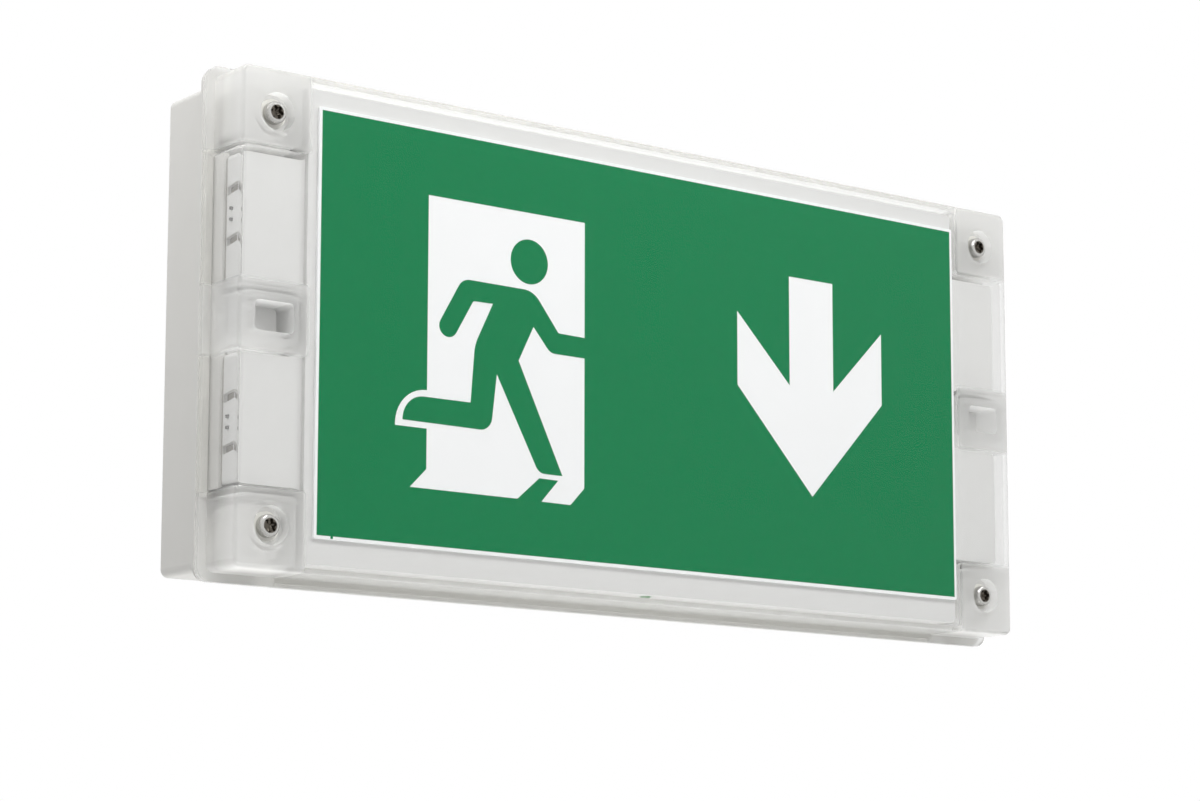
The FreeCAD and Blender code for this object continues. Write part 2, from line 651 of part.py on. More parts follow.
def make_sign_carrier():
    """White carrier: a frame behind the sign, lower end panels, and a skirt down to the lamp tray."""
    carrier = piece("sign_carrier")
    raised_w = f"2*({COVER_W}/2 - tower_w - carrier_gap)"
    panel_back = f"({PANEL_FRONT} - carrier_wall)"
    pad(carrier, CARRIER_BACK, PANEL_FRONT, [outline(gripped_room("carrier_gap"), "cover_wall")])
    pad(carrier, PANEL_FRONT, CARRIER_FRONT, [outline(box("0", "0", raised_w, f"2*{SKIRT_Z}"), "web")])
    hollow = gripped_room("(carrier_gap + carrier_wall)")
    cut(carrier, CARRIER_BACK, panel_back, [outline(hollow, "web")])
    inner = box("0", "0", f"{raised_w} - 2*carrier_wall", f"2*({SKIRT_Z} - carrier_wall)")
    cut(carrier, panel_back, OPAL_FRONT, [outline(inner, "web")])
    window = box("sign_x", "sign_z", "sign_w - 2*sign_lap", "sign_h - 2*sign_lap")
    cut(carrier, OPAL_FRONT, CARRIER_FRONT, [outline(window, "web")])
    add_diffuser_rails(carrier)
    for across in (-1, 1):
        add_lamp_seats(carrier, across)
    eye = circle("0", f"-({CARRIER_FRONT} - status_in)", "status_dia + part_play")
    cut(carrier, f"-{SKIRT_Z}", f"-({SKIRT_Z} - carrier_wall)", [eye], "XY_Plane")
    return carrier


def opal_size():
    """Width and height of the diffuser."""
    return "(sign_w - 2*sign_lap + 2*opal_lap)", "(sign_h - 2*sign_lap + 2*opal_lap)"


def add_diffuser_rails(carrier):
    """Behind the window, a low frame that the diffuser drops into."""
    width, height = opal_size()
    inside = box("sign_x", "sign_z", f"{width} + 2*opal_play", f"{height} + 2*opal_play")
    outside = box("sign_x", "sign_z", f"{width} + 2*opal_play + 2*web", f"{height} + 2*opal_play + 2*web")
    pad(carrier, f"{OPAL_FRONT} - opal_thick - web", OPAL_FRONT, [outline(outside), outline(inside)])


def skirt_span(across):
    """The end wall of the carrier's skirt on one side, as two places along X."""
    inner, outer = f"({SKIRT_X} - carrier_wall)", SKIRT_X
    return (inner, outer) if across > 0 else (f"-{outer}", f"-{inner}")


def add_lamp_seats(carrier, across):
    """In an end wall of the skirt, slanted slots beside the two lamp boards, and holes for their pins."""
    near, far = f"-({CARRIER_BACK} + 1)", f"-({PANEL_FRONT} - carrier_wall)"
    openings = []
    for up in (-1, 1):
        for side in (-1, 1):
            low = f"{up}*slot_z + {side}*slot_apart/2 - slot_high/2"
            high = f"{low} + slot_high"
            openings.append(outline([(far, f"{low} + 1"), (near, low), (near, f"{high} - 1"), (far, high)]))
            openings.append(circle(f"-{LAMP_DEPTH}", f"{up}*slot_z + {side}*pin_gap/2", "1.8"))
    cut(carrier, *skirt_span(across), openings, "YZ_Plane")


def make_lamps():
    """Four small lamp boards inside the ends of the carrier, each with one lamp and two pins."""
    chips, pins = piece("lamp_chips"), piece("lamp_pins")
    face = f"({SKIRT_X} - carrier_wall)"
    for across, side_name in ((-1, "left"), (1, "right")):
        spans = [(f"{face} - lamp_thick", face), (f"{face} - lamp_thick - 0.8", f"{face} - lamp_thick")]
        spans.append((face, f"{SKIRT_X} + 0.8"))
        if across < 0:
            spans = [(f"-({high})", f"-({low})") for low, high in spans]
        for up, level_name in ((1, "upper"), (-1, "lower")):
            board = piece(f"lamp_board_{level_name}_{side_name}")
            flat = outline(box(f"-{LAMP_DEPTH}", f"{up}*slot_z", "7", "lamp_long"))
            pad(board, *spans[0], [flat], "YZ_Plane")
        squares = [outline(box(f"-{LAMP_DEPTH}", f"{up}*slot_z", "3", "3")) for up in (-1, 1)]
        rounds = [(f"-{LAMP_DEPTH}", f"{up}*slot_z + {side}*pin_gap/2") for up, side in CORNERS]
        pad(chips, *spans[1], squares, "YZ_Plane")
        pad(pins, *spans[2], circles(rounds, "1.2"), "YZ_Plane")


def make_sign():
    """The printed sign plate and the opal diffuser behind it."""
    plate, opal = piece("sign_plate"), piece("opal_diffuser")
    whole = box("sign_x", "sign_z", "sign_w + 2*sign_border", "sign_h + 2*sign_border")
    pad(plate, CARRIER_FRONT, SIGN_FRONT, [outline(whole, "0.8")])
    pad(opal, f"{OPAL_FRONT} - opal_thick", OPAL_FRONT, [outline(box("sign_x", "sign_z", *opal_size()))])


def make_lamp_tray():
    """White tray that closes the lamp room behind and lies on the housing's posts."""
    tray = piece("lamp_tray")
    floor = f"({TRAY_BACK} + tray_wall)"
    inset = "(carrier_gap + carrier_wall + tray_play)"
    pad(tray, TRAY_BACK, CARRIER_BACK, [outline(room(inset), "cover_wall")])
    cut(tray, floor, CARRIER_BACK, [outline(room(f"({inset} + tray_wall)"), "web")])
    cut(tray, TRAY_BACK, floor, circles(tray_holes(), "small_dia + 0.4"))


def make_status_light(carrier):
    """Status light in the lower wall of the carrier, on a small board that stands on two ribs."""
    depth = f"({CARRIER_FRONT} - status_in)"
    wall_in = f"-({SKIRT_Z} - carrier_wall)"
    board_low = f"({wall_in} + 4.5)"
    ribs = [outline(box(f"{across}*6", f"-{depth}", "web", "8")) for across in (-1, 1)]
    pad(carrier, wall_in, board_low, ribs, "XY_Plane")
    board = piece("status_board")
    pad(board, board_low, f"{board_low} + 1.2", [outline(box("0", f"-{depth}", "15", "8"))], "XY_Plane")
    lens = piece("status_light")
    shell = "status_dia/2"
    profile = [
        ("0", f"-{SKIRT_Z} - 0.8"),
        (f"{shell} - 1", f"-{SKIRT_Z} - 0.5"),
        (shell, f"-{SKIRT_Z} + 0.4"),
        (shell, wall_in),
        (f"{shell} + 0.5", wall_in),
        (f"{shell} + 0.5", f"{wall_in} + 1"),
        (shell, f"{wall_in} + 1"),
        (shell, board_low),
        ("0", board_low),
    ]
    turned(lens, "0", depth, profile, "XZ_Plane")


# --- driver board -----------------------------------------------------------------------------------------


def on_board(along, up):
    """A place on the driver board, from its middle."""
    return f"(board_x + ({along}))", f"({BOARD_Z} + ({up}))"


def block(label, along, up, width, height, tall, radius=None):
    """A moulded block that stands on the driver board."""
    body = piece(label)
    shape = outline(box(*on_board(along, up), width, height), radius)
    pad(body, BOARD_FRONT, f"{BOARD_FRONT} + {tall}", [shape])
    return body


def from_left(distance):
    """A place on the driver board, from its left edge."""
    return f"({distance} - board_w/2)"


def from_right(distance):
    """A place on the driver board, from its right edge."""
    return f"(board_w/2 - {distance})"


def make_driver():
    """The driver board and the parts on it: mains at the left, battery and lamps at the right."""
    board = piece("driver_board")
    flat = outline(box("board_x", BOARD_Z, "board_w", "board_h"), "1")
    pad(board, "board_depth", BOARD_FRONT, [flat, *circles(board_holes(), "small_dia + part_play")])
    make_small_screws("board_screws", board_holes(), BOARD_FRONT)
    make_terminals()
    make_transformer()
    make_cans()
    make_heat_sink()
    block("film_capacitor", from_left("34"), "2", "8.5", "18", "14.5", "1")
    block("mains_choke", from_left("48"), "12", "14", "17", "16", "1.5")
    block("change_over_relay", from_right("38"), "20", "20", "10.5", "15", "0.6")
    block("battery_socket", from_right("20"), "-26", "9", "6", "7", "0.4")
    block("lamp_socket", "-5", "28", "12", "6", "7", "0.4")
    chips = piece("control_chips")
    places = [(from_right("32"), "-4"), (from_right("16"), "-6"), ("8", "-24")]
    cases = [outline(box(*on_board(along, up), "6", "5")) for along, up in places]
    pad(chips, BOARD_FRONT, f"{BOARD_FRONT} + 1.6", cases)
    fuse = piece("mains_fuse")
    pad(fuse, BOARD_FRONT, f"{BOARD_FRONT} + 8", [circle(*on_board(from_left("18"), "2"), "8.5")])


def make_terminals():
    """Four-pole mains terminal block: wire holes face down, clamping screws face the front."""
    middle = from_left("(2*board_hole_in + 2*pole_pitch + 3)")
    terminals = block("mains_terminals", middle, "-23", "(4*pole_pitch + 2)", "12", "pole_deep", "0.6")
    clamps = piece("terminal_screws")
    top = f"({BOARD_FRONT} + pole_deep)"
    axes = [on_board(f"{middle} + ({index} - 1.5)*pole_pitch", "-24") for index in range(4)]
    cut(terminals, f"{top} - 6", top, circles(axes, "3.8"))
    mouths = [circle(x, f"-({BOARD_FRONT} + 4)", "3") for x, z in axes]
    low = f"({BOARD_Z} - 23 - 6)"
    cut(terminals, low, f"{low} + 8", mouths, "XY_Plane")
    pad(clamps, f"{top} - 6", f"{top} - 2", circles(axes, "3.6"))


def make_transformer():
    """Transformer: a wound former and the ferrite core that closes round it."""
    along, up = "10", "8"
    winding = block("transformer_winding", along, up, "core_w - 2*core_leg - part_play", "20",
                    "core_high - core_leg - part_play", "2.5")
    middle = on_board(along, up)
    inner = f"({BOARD_FRONT} + core_high - core_leg)"
    under = outline(box(*middle, "core_w", "core_thick + 2*part_play"))
    cut(winding, BOARD_FRONT, f"{BOARD_FRONT} + 1", [under])
    core = piece("transformer_core")
    outer = box(middle[0], f"-({BOARD_FRONT} + core_high/2)", "core_w", "core_high")
    window = box(middle[0], f"-({BOARD_FRONT} + {inner})/2", "core_w - 2*core_leg", "core_high")
    low = f"({middle[1]} - core_thick/2)"
    pad(core, low, f"{low} + core_thick", [outline(outer)], "XY_Plane")
    cut(core, low, f"{low} + core_thick", [outline(window)], "XY_Plane")


def make_cans():
    """Two smoothing capacitors with a rolled neck."""
    cans = piece("smoothing_capacitors")
    half = "can_dia/2"
    for along in ("-12", "28"):
        x, z = on_board(along, "-20")
        profile = [
            ("0", BOARD_FRONT),
            (half, BOARD_FRONT),
            (half, f"{BOARD_FRONT} + 1.5"),
            (f"{half} - 0.7", f"{BOARD_FRONT} + 2.3"),
            (half, f"{BOARD_FRONT} + 3.1"),
            (half, f"{BOARD_FRONT} + can_high - 0.6"),
            (f"{half} - 0.6", f"{BOARD_FRONT} + can_high"),
            ("0", f"{BOARD_FRONT} + can_high"),
        ]
        turned(cans, x, z, from_wall(profile))


def make_heat_sink():
    """Extruded heat sink: a back plate with five fins."""
    middle = (from_right("16"), "10")
    sink = block("heat_sink", *middle, "4*fin_pitch + 1.2", "2", "18")
    x, z = on_board(*middle)
    fins = [outline(box(f"{x} + {index}*fin_pitch", f"{z} + 1 + 4", "1.2", "8")) for index in range(-2, 3)]
    pad(sink, BOARD_FRONT, f"{BOARD_FRONT} + 18", fins)


# --- battery ----------------------------------------------------------------------------------------------


def make_battery():
    """Battery of four cells in one sleeve, the cradle it lies in and the strap that holds it."""
    pack, cradle, strap = piece("battery_pack"), piece("battery_cradle"), piece("battery_strap")
    middle = f"({PACK_BACK} + cell_dia/2)"
    low, high = f"({PACK_Z} - cell_long/2)", f"({PACK_Z} + cell_long/2)"
    sleeve = outline(box(PACK_X, f"-{middle}", "4*cell_dia", "cell_dia"), "cell_dia/2 - 0.4")
    pad(pack, low, high, [sleeve], "XY_Plane")
    wide, tall = "(4*cell_dia + 2*cradle_play)", "(cell_long + 2*cradle_play)"
    top = f"({CRADLE_BACK} + cradle_high)"
    outer = box(PACK_X, PACK_Z, f"{wide} + 2*cradle_wall", f"{tall} + 2*cradle_wall")
    pad(cradle, CRADLE_BACK, top, [outline(outer, "cradle_wall")])
    cut(cradle, f"{CRADLE_BACK} + cradle_floor", top, [outline(box(PACK_X, PACK_Z, wide, tall), "1")])
    slot = box(PACK_X, PACK_Z, "strap_w + 2*part_play", "2*cell_long")
    cut(cradle, f"{CRADLE_BACK} + 3", f"{CRADLE_BACK} + 5.4", [outline(slot)])
    inner_tall = f"({tall} + 2*cradle_wall + part_play)"
    front = f"({PACK_BACK} + cell_dia + part_play)"
    start, stop = f"({PACK_X} - strap_w/2)", f"({PACK_X} + strap_w/2)"
    foot = f"({CRADLE_BACK} + 3.2)"
    middle, deep = f"-({front} + strap_thick + {foot})/2", f"({front} + strap_thick - {foot})"
    outside = box(middle, PACK_Z, deep, f"{inner_tall} + 2*strap_thick")
    inside = box(f"{middle} + strap_thick*3/2", PACK_Z, f"{deep} + strap_thick", inner_tall)
    pad(strap, start, stop, [outline(outside, "strap_thick")], "YZ_Plane")
    cut(strap, start, stop, [outline(inside)], "YZ_Plane")
    reach = "(cradle_wall*0.8)"
    hooks = [
        outline(box(f"-({foot} + 1)", f"{PACK_Z} + {up}*({inner_tall}/2 - {reach}/2)", "2", reach))
        for up in (-1, 1)
    ]
    pad(strap, start, stop, hooks, "YZ_Plane")


# --- the whole light --------------------------------------------------------------------------------------

make_clear_cover()
make_back_housing()
make_gasket()
make_grommets()
make_cover_fasteners()
make_status_light(make_sign_carrier())
make_lamps()
make_sign()
make_lamp_tray()
make_small_screws("tray_screws", tray_holes(), f"({TRAY_BACK} + tray_wall)")
make_driver()
make_battery()

document.recompute()
for item in document.Objects:
    if {"Invalid", "Error"} & set(item.State):
        raise RuntimeError(f"{item.Label} ({item.Name}) failed: {item.State}")

os.makedirs("parts", exist_ok=True)
for body in document.findObjects("PartDesign::Body"):
    if body.Shape.isNull() or not body.Shape.isValid():
        raise RuntimeError(f"{body.Label} has no valid shape")
    body.Shape.exportStep(f"parts/{body.Label}.step")
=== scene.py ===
"""Finishes of a wall-mounted emergency exit light: a clear screwed cover over a printed sign.

The construction comes from the fixed frame, which is already at its real size. Here every part gets
its moulded, pressed or printed surface, the cover gets its soft edges, the sign gets its print, the
cover screws get their star sockets and threads, and the lamp boards get their spring strips. X runs
along the sign, Z is up and the wall is at Y = 0, so depths from the wall are along -Y.
"""
import math

import bmesh
import bpy
from mathutils import Matrix, Vector


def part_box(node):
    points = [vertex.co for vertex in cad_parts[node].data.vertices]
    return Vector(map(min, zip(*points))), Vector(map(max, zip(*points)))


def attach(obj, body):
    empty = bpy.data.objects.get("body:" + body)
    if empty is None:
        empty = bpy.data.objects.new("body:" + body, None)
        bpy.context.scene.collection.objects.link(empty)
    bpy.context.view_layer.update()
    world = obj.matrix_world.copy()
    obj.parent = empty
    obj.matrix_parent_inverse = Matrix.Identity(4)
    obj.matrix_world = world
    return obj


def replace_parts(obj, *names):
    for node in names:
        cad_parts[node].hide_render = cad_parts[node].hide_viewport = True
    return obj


bl_info = {
    "name": "Emergency exit light finishes",
    "version": (1, 0, 0),
    "blender": (4, 5, 0),
    "location": "3D View > Sidebar > Exit light",
    "description": "Gives the exit light its surfaces, sign print, screws, spring strips and studio",
    "category": "Object",
}

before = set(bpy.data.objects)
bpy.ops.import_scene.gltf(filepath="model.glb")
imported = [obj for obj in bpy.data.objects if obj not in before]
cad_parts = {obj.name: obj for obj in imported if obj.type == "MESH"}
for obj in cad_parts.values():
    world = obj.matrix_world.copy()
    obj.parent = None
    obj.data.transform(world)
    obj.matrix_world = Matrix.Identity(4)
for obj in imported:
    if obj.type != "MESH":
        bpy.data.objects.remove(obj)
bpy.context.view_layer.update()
MM = 0.001
BODY = "root"
SAME_POINT = 0.001 * MM


# ---------------------------------------------------------------------------------------------------
# Sizes and colours that a user would change


def srgb(red, green, blue):
    """A colour given as a screen shows it, from 0 to 255, in the linear values that shaders use."""
    def linear(level):
        part = level / 255
        return part / 12.92 if part <= 0.04045 else ((part + 0.055) / 1.055) ** 2.4
    return tuple(linear(level) for level in (red, green, blue))


def length(name, description, default):
    """A length in metres, edited in the scene's own unit."""
    return bpy.props.FloatProperty(name=name, description=description, default=default,
                                   subtype="DISTANCE", unit="LENGTH", precision=5)


def colour(name, description, default):
    """A surface colour, edited with the colour picker."""
    return bpy.props.FloatVectorProperty(name=name, description=description, default=default,
                                         subtype="COLOR", size=3, min=0.0, max=1.0)


def share(name, description, default):
    """A plain factor from 0 to 1."""
    return bpy.props.FloatProperty(name=name, description=description, default=default,
                                   subtype="FACTOR", min=0.0, max=1.0)


def bearing(name, description, default):
    """An angle in radians, edited in degrees."""
    return bpy.props.FloatProperty(name=name, description=description, default=default,
                                   subtype="ANGLE", unit="ROTATION")


def power(name, description, default):
    """A lamp's power in watts."""
    return bpy.props.FloatProperty(name=name, description=description, default=default,
                                   min=0.0, unit="POWER")


def plain(name, description, default, lowest):
    """A number without a unit."""
    return bpy.props.FloatProperty(name=name, description=description, default=default, min=lowest)


class PlasticSettings(bpy.types.PropertyGroup):
    """Colours and grain of the moulded parts."""
    housing: colour("Housing", "Colour of the back housing", srgb(222, 221, 217))
    carrier: colour("Carrier", "Colour of the sign carrier and the lamp tray", srgb(228, 228, 226))
    opal: colour("Opal sheet", "Colour of the diffuser behind the sign", srgb(240, 241, 242))
    joint_dust_and_shade: colour("Joint shade and dust", "Colour of the joint behind the sign carrier", srgb(134, 130, 118))
    # Painted shade, partly real: a darker colour that stands for the shadow in the joint behind the
    # sign carrier.
    seal: colour("Seal", "Colour of the cover's seal and the screw washers", srgb(226, 225, 219))
    rubber: colour("Rubber", "Colour of the cable grommets", srgb(176, 178, 175))
    grain: length("Grain", "Width of one pit of the spark-eroded surface", 0.45 * MM)
    relief: length("Relief", "Depth of that surface", 0.012 * MM)


class CoverSettings(bpy.types.PropertyGroup):
    """The clear cover's plastic, and where it looks milky."""
    tint: colour("Tint", "Colour of the clear plastic, seen through", srgb(254, 254, 254))
    haze: colour("Haze", "Colour that the plastic scatters", srgb(240, 240, 238))
    bend: plain("Bend", "How far the plastic bends light: its index", 1.14, 1.0)
    haze_front: share("Haze in front", "Share of scattered light over the sign", 0.003)
    haze_ends: share("Haze at the ends", "Share of scattered light beside the sign", 0.12)
    haze_skirt: share("Haze of the skirt", "Share of scattered light in skirt and flange", 0.24)
    haze_solid: share("Haze of the towers", "Share of scattered light in towers and grip blocks", 0.6)
    haze_deep: share("Haze deep down", "Share of the towers' haze that is left at their feet", 0.55)
    tower_low: length("Tower", "Height at which the screw towers begin", 59.6 * MM)
    tower_deep: length("Tower depth", "Depth from the front at which their haze is thinnest", 14 * MM)
    grip_high: length("Grip", "Height at which the grip blocks end", 12.7 * MM)
    roughness: share("Roughness", "Roughness of the moulded surface", 0.06)
    edge: length("Edge", "Round of the moulded edges", 0.3 * MM)


class SignSettings(bpy.types.PropertyGroup):
    """The printed field of the sign plate."""
    width: length("Width", "Width of the green field", 300.6 * MM)
    height: length("Height", "Height of the green field", 150.6 * MM)
    film: length("Film", "Thickness of the printed film", 0.06 * MM)
    green: colour("Green", "Safety green of the field", srgb(22, 124, 76))
    white: colour("White", "White of the symbols and the border", srgb(246, 247, 247))


class ClipsSettings(bpy.types.PropertyGroup):
    """The spring strips behind the slots in the carrier's ends."""
    wall: length("Wall", "Thickness of the carrier's wall in front of the strips", 1.5 * MM)
    thick: length("Thick", "Thickness of a strip", 0.35 * MM)
    wide: length("Wide", "Width of a strip", 4.8 * MM)
    level: length("Level", "Height of a pair's middle", 36.5 * MM)
    apart: length("Apart", "Distance between the strips of a pair", 18 * MM)
    slant: length("Slant", "How much higher a strip is at its front end", 1 * MM)
    bow: length("Bow", "How far a strip bends away from the wall", -0.15 * MM)
    bronze: colour("Bronze", "Colour of the strips", srgb(104, 88, 64))


class ScrewSettings(bpy.types.PropertyGroup):
    """The four screws that hold the cover."""
    head: length("Head", "Diameter of the round head", 8 * MM)
    head_height: length("Head height", "Height of the round head", 3.2 * MM)
    socket: length("Socket", "Size of the star socket from point to point", 5.2 * MM)
    socket_depth: length("Socket depth", "Depth of the star socket", 1.8 * MM)
    shank: length("Shank", "Outer diameter of the thread", 4 * MM)
    pitch: length("Pitch", "Distance from one turn of the thread to the next", 0.7 * MM)
    steel: colour("Steel", "Colour of the screws", srgb(188, 187, 184))
    # Painted shade: a dark colour for the steel down in the star sockets.
    socket_shade: colour("Socket shade", "Colour of the steel down in the sockets", srgb(92, 87, 80))


class StudioSettings(bpy.types.PropertyGroup):
    """Camera, floor and lamps."""
    eye: bpy.props.FloatVectorProperty(name="Eye", description="Where the camera stands",
                                       default=(-0.6955, -0.9435, -0.2177), size=3,
                                       subtype="XYZ", unit="LENGTH")
    turn: bearing("Turn", "How far the camera turns to the right", 0.6534)
    rise: bearing("Rise", "How far the camera looks up", 0.1421)
    lens: bpy.props.FloatProperty(name="Lens", description="Focal length on a 36 mm sensor",
                                  default=91.58, min=1.0, unit="CAMERA")
    shift_x: plain("Shift X", "Sideways shift of the lens", -0.0242, -1.0)
    shift_y: plain("Shift Y", "Upward shift of the lens", 0.10, -1.0)
    floor_level: length("Floor", "Height of the floor below the light's middle", -0.45)
    floor: colour("Floor colour", "Colour of the floor", srgb(244, 244, 244))
    shadow: length("Shadow", "How far from the middle the floor keeps all of its shadow", 0.4)
    sky: share("Sky", "Brightness of the room round the light", 0.36)
    key: power("Key", "Power of the lamp in front and above", 4.9)
    fill: power("Fill", "Power of the lamp on the right", 5.0)
    end: power("End", "Power of the lamp above the left end", 1.5)
    under: power("Under", "Power of the lamp below", 0.72)


# ---------------------------------------------------------------------------------------------------
# Material helpers


def add(tree, kind, inputs=None, **settings):
    """Adds a node, sets it up, and sets or links its inputs by name."""
    made = tree.nodes.new(kind)
    for name, value in settings.items():
        setattr(made, name, value)
    for name, value in (inputs or {}).items():
        if isinstance(value, bpy.types.NodeSocket):
            tree.links.new(value, made.inputs[name])
        else:
            made.inputs[name].default_value = value
    return made


def opaque(tint):
    """That colour with a full alpha, as a colour socket takes it."""
    return (*tint, 1.0)


def material(name):
    """A new material and its tree, which holds only the output."""
    made = bpy.data.materials.new(name)
    made.use_nodes = True
    made.node_tree.nodes.clear()
    return made, made.node_tree


def finished(made, tree, surface):
    """Links the surface to the material's output."""
    end = add(tree, "ShaderNodeOutputMaterial")
    tree.links.new(surface, end.inputs["Surface"])
    return made


def place(tree):
    """The point on the object, in metres."""
    return add(tree, "ShaderNodeTexCoord").outputs["Object"]


def noise(tree, where, size, detail=2.0):
    """Soft noise from 0 to 1 whose lumps are about that size across."""
    return add(tree, "ShaderNodeTexNoise",
               {"Vector": where, "Scale": 1 / size, "Detail": detail}).outputs["Fac"]


def blended(tree, amount, first, second):
    """A colour between two, by an amount."""
    mix = add(tree, "ShaderNodeMix", {"Factor": amount}, data_type="RGBA")
    for socket, value in ((mix.inputs[6], first), (mix.inputs[7], second)):
        if isinstance(value, bpy.types.NodeSocket):
            tree.links.new(value, socket)
        else:
            socket.default_value = opaque(value)
    return mix.outputs[2]


def ranged(tree, value, low, high, start, end):
    """The value's span from low to high, stretched from start to end."""
    return add(tree, "ShaderNodeMapRange", {"Value": value, "From Min": low, "From Max": high,
                                            "To Min": start, "To Max": end}).outputs["Result"]


def bump(tree, height, depth, strength=0.6):
    """A small relief of that depth."""
    return add(tree, "ShaderNodeBump",
               {"Height": height, "Distance": depth, "Strength": strength}).outputs["Normal"]


def darker(tint, amount):
    """The tint with a share of its light taken away."""
    return tuple(level * (1 - amount) for level in tint)


def moulded(name, tint, grain, relief, gloss=(0.36, 0.5), unevenness=0.04, sockets=None):
    """A moulded surface: fine pits from the tool that vary its gloss, and slow changes of tone."""
    made, tree = material(name)
    where = place(tree)
    pits = noise(tree, where, grain, 3.0)
    clouds = noise(tree, where, 40 * grain)
    surface = add(tree, "ShaderNodeBsdfPrincipled", {
        "Base Color": blended(tree, clouds, tint, darker(tint, unevenness)),
        "Roughness": ranged(tree, pits, 0.3, 0.7, *gloss),
        "Normal": bump(tree, pits, relief),
        **(sockets or {}),
    })
    return finished(made, tree, surface.outputs["BSDF"])


def metal(name, tint, roughness, streak=0.2 * MM, grime=0.25):
    """A metal surface with fine turning or rolling marks and a little staining."""
    made, tree = material(name)
    where = place(tree)
    stretched = add(tree, "ShaderNodeMapping", {"Vector": where, "Scale": (1.0, 6.0, 1.0)})
    marks = noise(tree, stretched.outputs["Vector"], streak, 4.0)
    stains = noise(tree, where, 8 * streak)
    surface = add(tree, "ShaderNodeBsdfPrincipled", {
        "Base Color": blended(tree, stains, tint, darker(tint, grime)),
        "Metallic": 1.0,
        "Roughness": ranged(tree, marks, 0.3, 0.7, 0.7 * roughness, 1.4 * roughness),
        "Normal": bump(tree, marks, 0.004 * MM, 0.4),
    })
    return finished(made, tree, surface.outputs["BSDF"])


def dress(node, finish):
    """Gives a part of the frame that finish all over."""
    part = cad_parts[node]
    if not part.material_slots:
        part.data.materials.append(finish)
    for held in part.material_slots:
        held.material = finish


def settings(context):
    """The scene's settings for this light."""
    return context.scene.exit_light


class ExitLightSettings(bpy.types.PropertyGroup):
    """All settings of the exit light's finishes."""
    plastic: bpy.props.PointerProperty(type=PlasticSettings, name="Plastics",
                                       description="Moulded parts")
    cover: bpy.props.PointerProperty(type=CoverSettings, name="Cover", description="Clear cover")
    sign: bpy.props.PointerProperty(type=SignSettings, name="Sign", description="Printed field")
    clips: bpy.props.PointerProperty(type=ClipsSettings, name="Clips",
                                     description="Strips behind the slots")
    screw: bpy.props.PointerProperty(type=ScrewSettings, name="Screws", description="Cover screws")
    studio: bpy.props.PointerProperty(type=StudioSettings, name="Studio",
                                      description="Camera, floor and lamps")


# ---------------------------------------------------------------------------------------------------
# The clear cover


def stronger(tree, first, second):
    """The larger of two values."""
    return add(tree, "ShaderNodeMath", {0: first, 1: second}, operation="MAXIMUM").outputs[0]


def size_of(tree, value):
    """The value without its sign."""
    return add(tree, "ShaderNodeMath", {0: value}, operation="ABSOLUTE").outputs[0]


def both(tree, first, second):
    """Two values from 0 to 1 multiplied: high only where both are."""
    return add(tree, "ShaderNodeMath", {0: first, 1: second}, operation="MULTIPLY").outputs[0]


def less(tree, value, taken):
    """The value with a number taken from it."""
    return add(tree, "ShaderNodeMath", {0: value, 1: taken}, operation="SUBTRACT").outputs[0]


def haze_share(tree, where, cover):
    """How much the plastic scatters: least over the sign, most in the towers and grip blocks."""
    plate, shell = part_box("sign_plate")[1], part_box("sign_carrier")[1]
    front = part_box("clear_cover")[0].y
    axes = add(tree, "ShaderNodeSeparateXYZ", {"Vector": where})
    beside = size_of(tree, axes.outputs["X"])
    above = size_of(tree, axes.outputs["Z"])
    ends = ranged(tree, beside, plate.x - 2 * MM, plate.x + 4 * MM, cover.haze_front, cover.haze_ends)
    rows = ranged(tree, above, shell.z, shell.z + 2 * MM, 0.0, cover.haze_skirt)
    sides = ranged(tree, beside, shell.x, shell.x + 2 * MM, 0.0, cover.haze_skirt)
    towers = ranged(tree, above, cover.tower_low - MM, cover.tower_low + MM, 0.0, 1.0)
    grips = ranged(tree, above, cover.grip_high - MM, cover.grip_high + MM, 1.0, 0.0)
    outside = ranged(tree, beside, plate.x, plate.x + 2 * MM, 0.0, cover.haze_solid)
    near = ranged(tree, axes.outputs["Y"], front + 2.4 * MM, front + cover.tower_deep,
                  1.0, cover.haze_deep)
    solid = both(tree, stronger(tree, both(tree, towers, near), grips), outside)
    return stronger(tree, stronger(tree, ends, solid), stronger(tree, rows, sides))


def clear_plastic(cover):
    """Clear moulded plastic that lets the lamps through, and scatters more where walls stand close."""
    made, tree = material("clear_moulded_plastic")
    where = place(tree)
    ripples = noise(tree, where, 9 * MM, 1.0)
    glass = add(tree, "ShaderNodeBsdfPrincipled", {
        "Base Color": opaque(cover.tint),
        "Roughness": cover.roughness,
        "IOR": cover.bend,
        "Transmission Weight": 1.0,
        "Normal": bump(tree, ripples, 0.05 * MM, 0.02),
    })
    scattered = add(tree, "ShaderNodeBsdfDiffuse", {"Color": opaque(cover.haze)})
    passed = add(tree, "ShaderNodeBsdfTranslucent", {"Color": opaque(cover.haze)})
    haze = add(tree, "ShaderNodeMixShader", {0: 0.5, 1: scattered.outputs[0], 2: passed.outputs[0]})
    amount = haze_share(tree, where, cover)
    body = add(tree, "ShaderNodeMixShader", {0: amount, 1: glass.outputs[0], 2: haze.outputs[0]})
    open_way = add(tree, "ShaderNodeBsdfTransparent", {"Color": opaque(cover.tint)})
    paths = add(tree, "ShaderNodeLightPath").outputs
    soft = stronger(tree, paths["Is Shadow Ray"], paths["Is Diffuse Ray"])
    lit = add(tree, "ShaderNodeMixShader", {0: soft, 1: body.outputs[0], 2: open_way.outputs[0]})
    return finished(made, tree, lit.outputs[0])


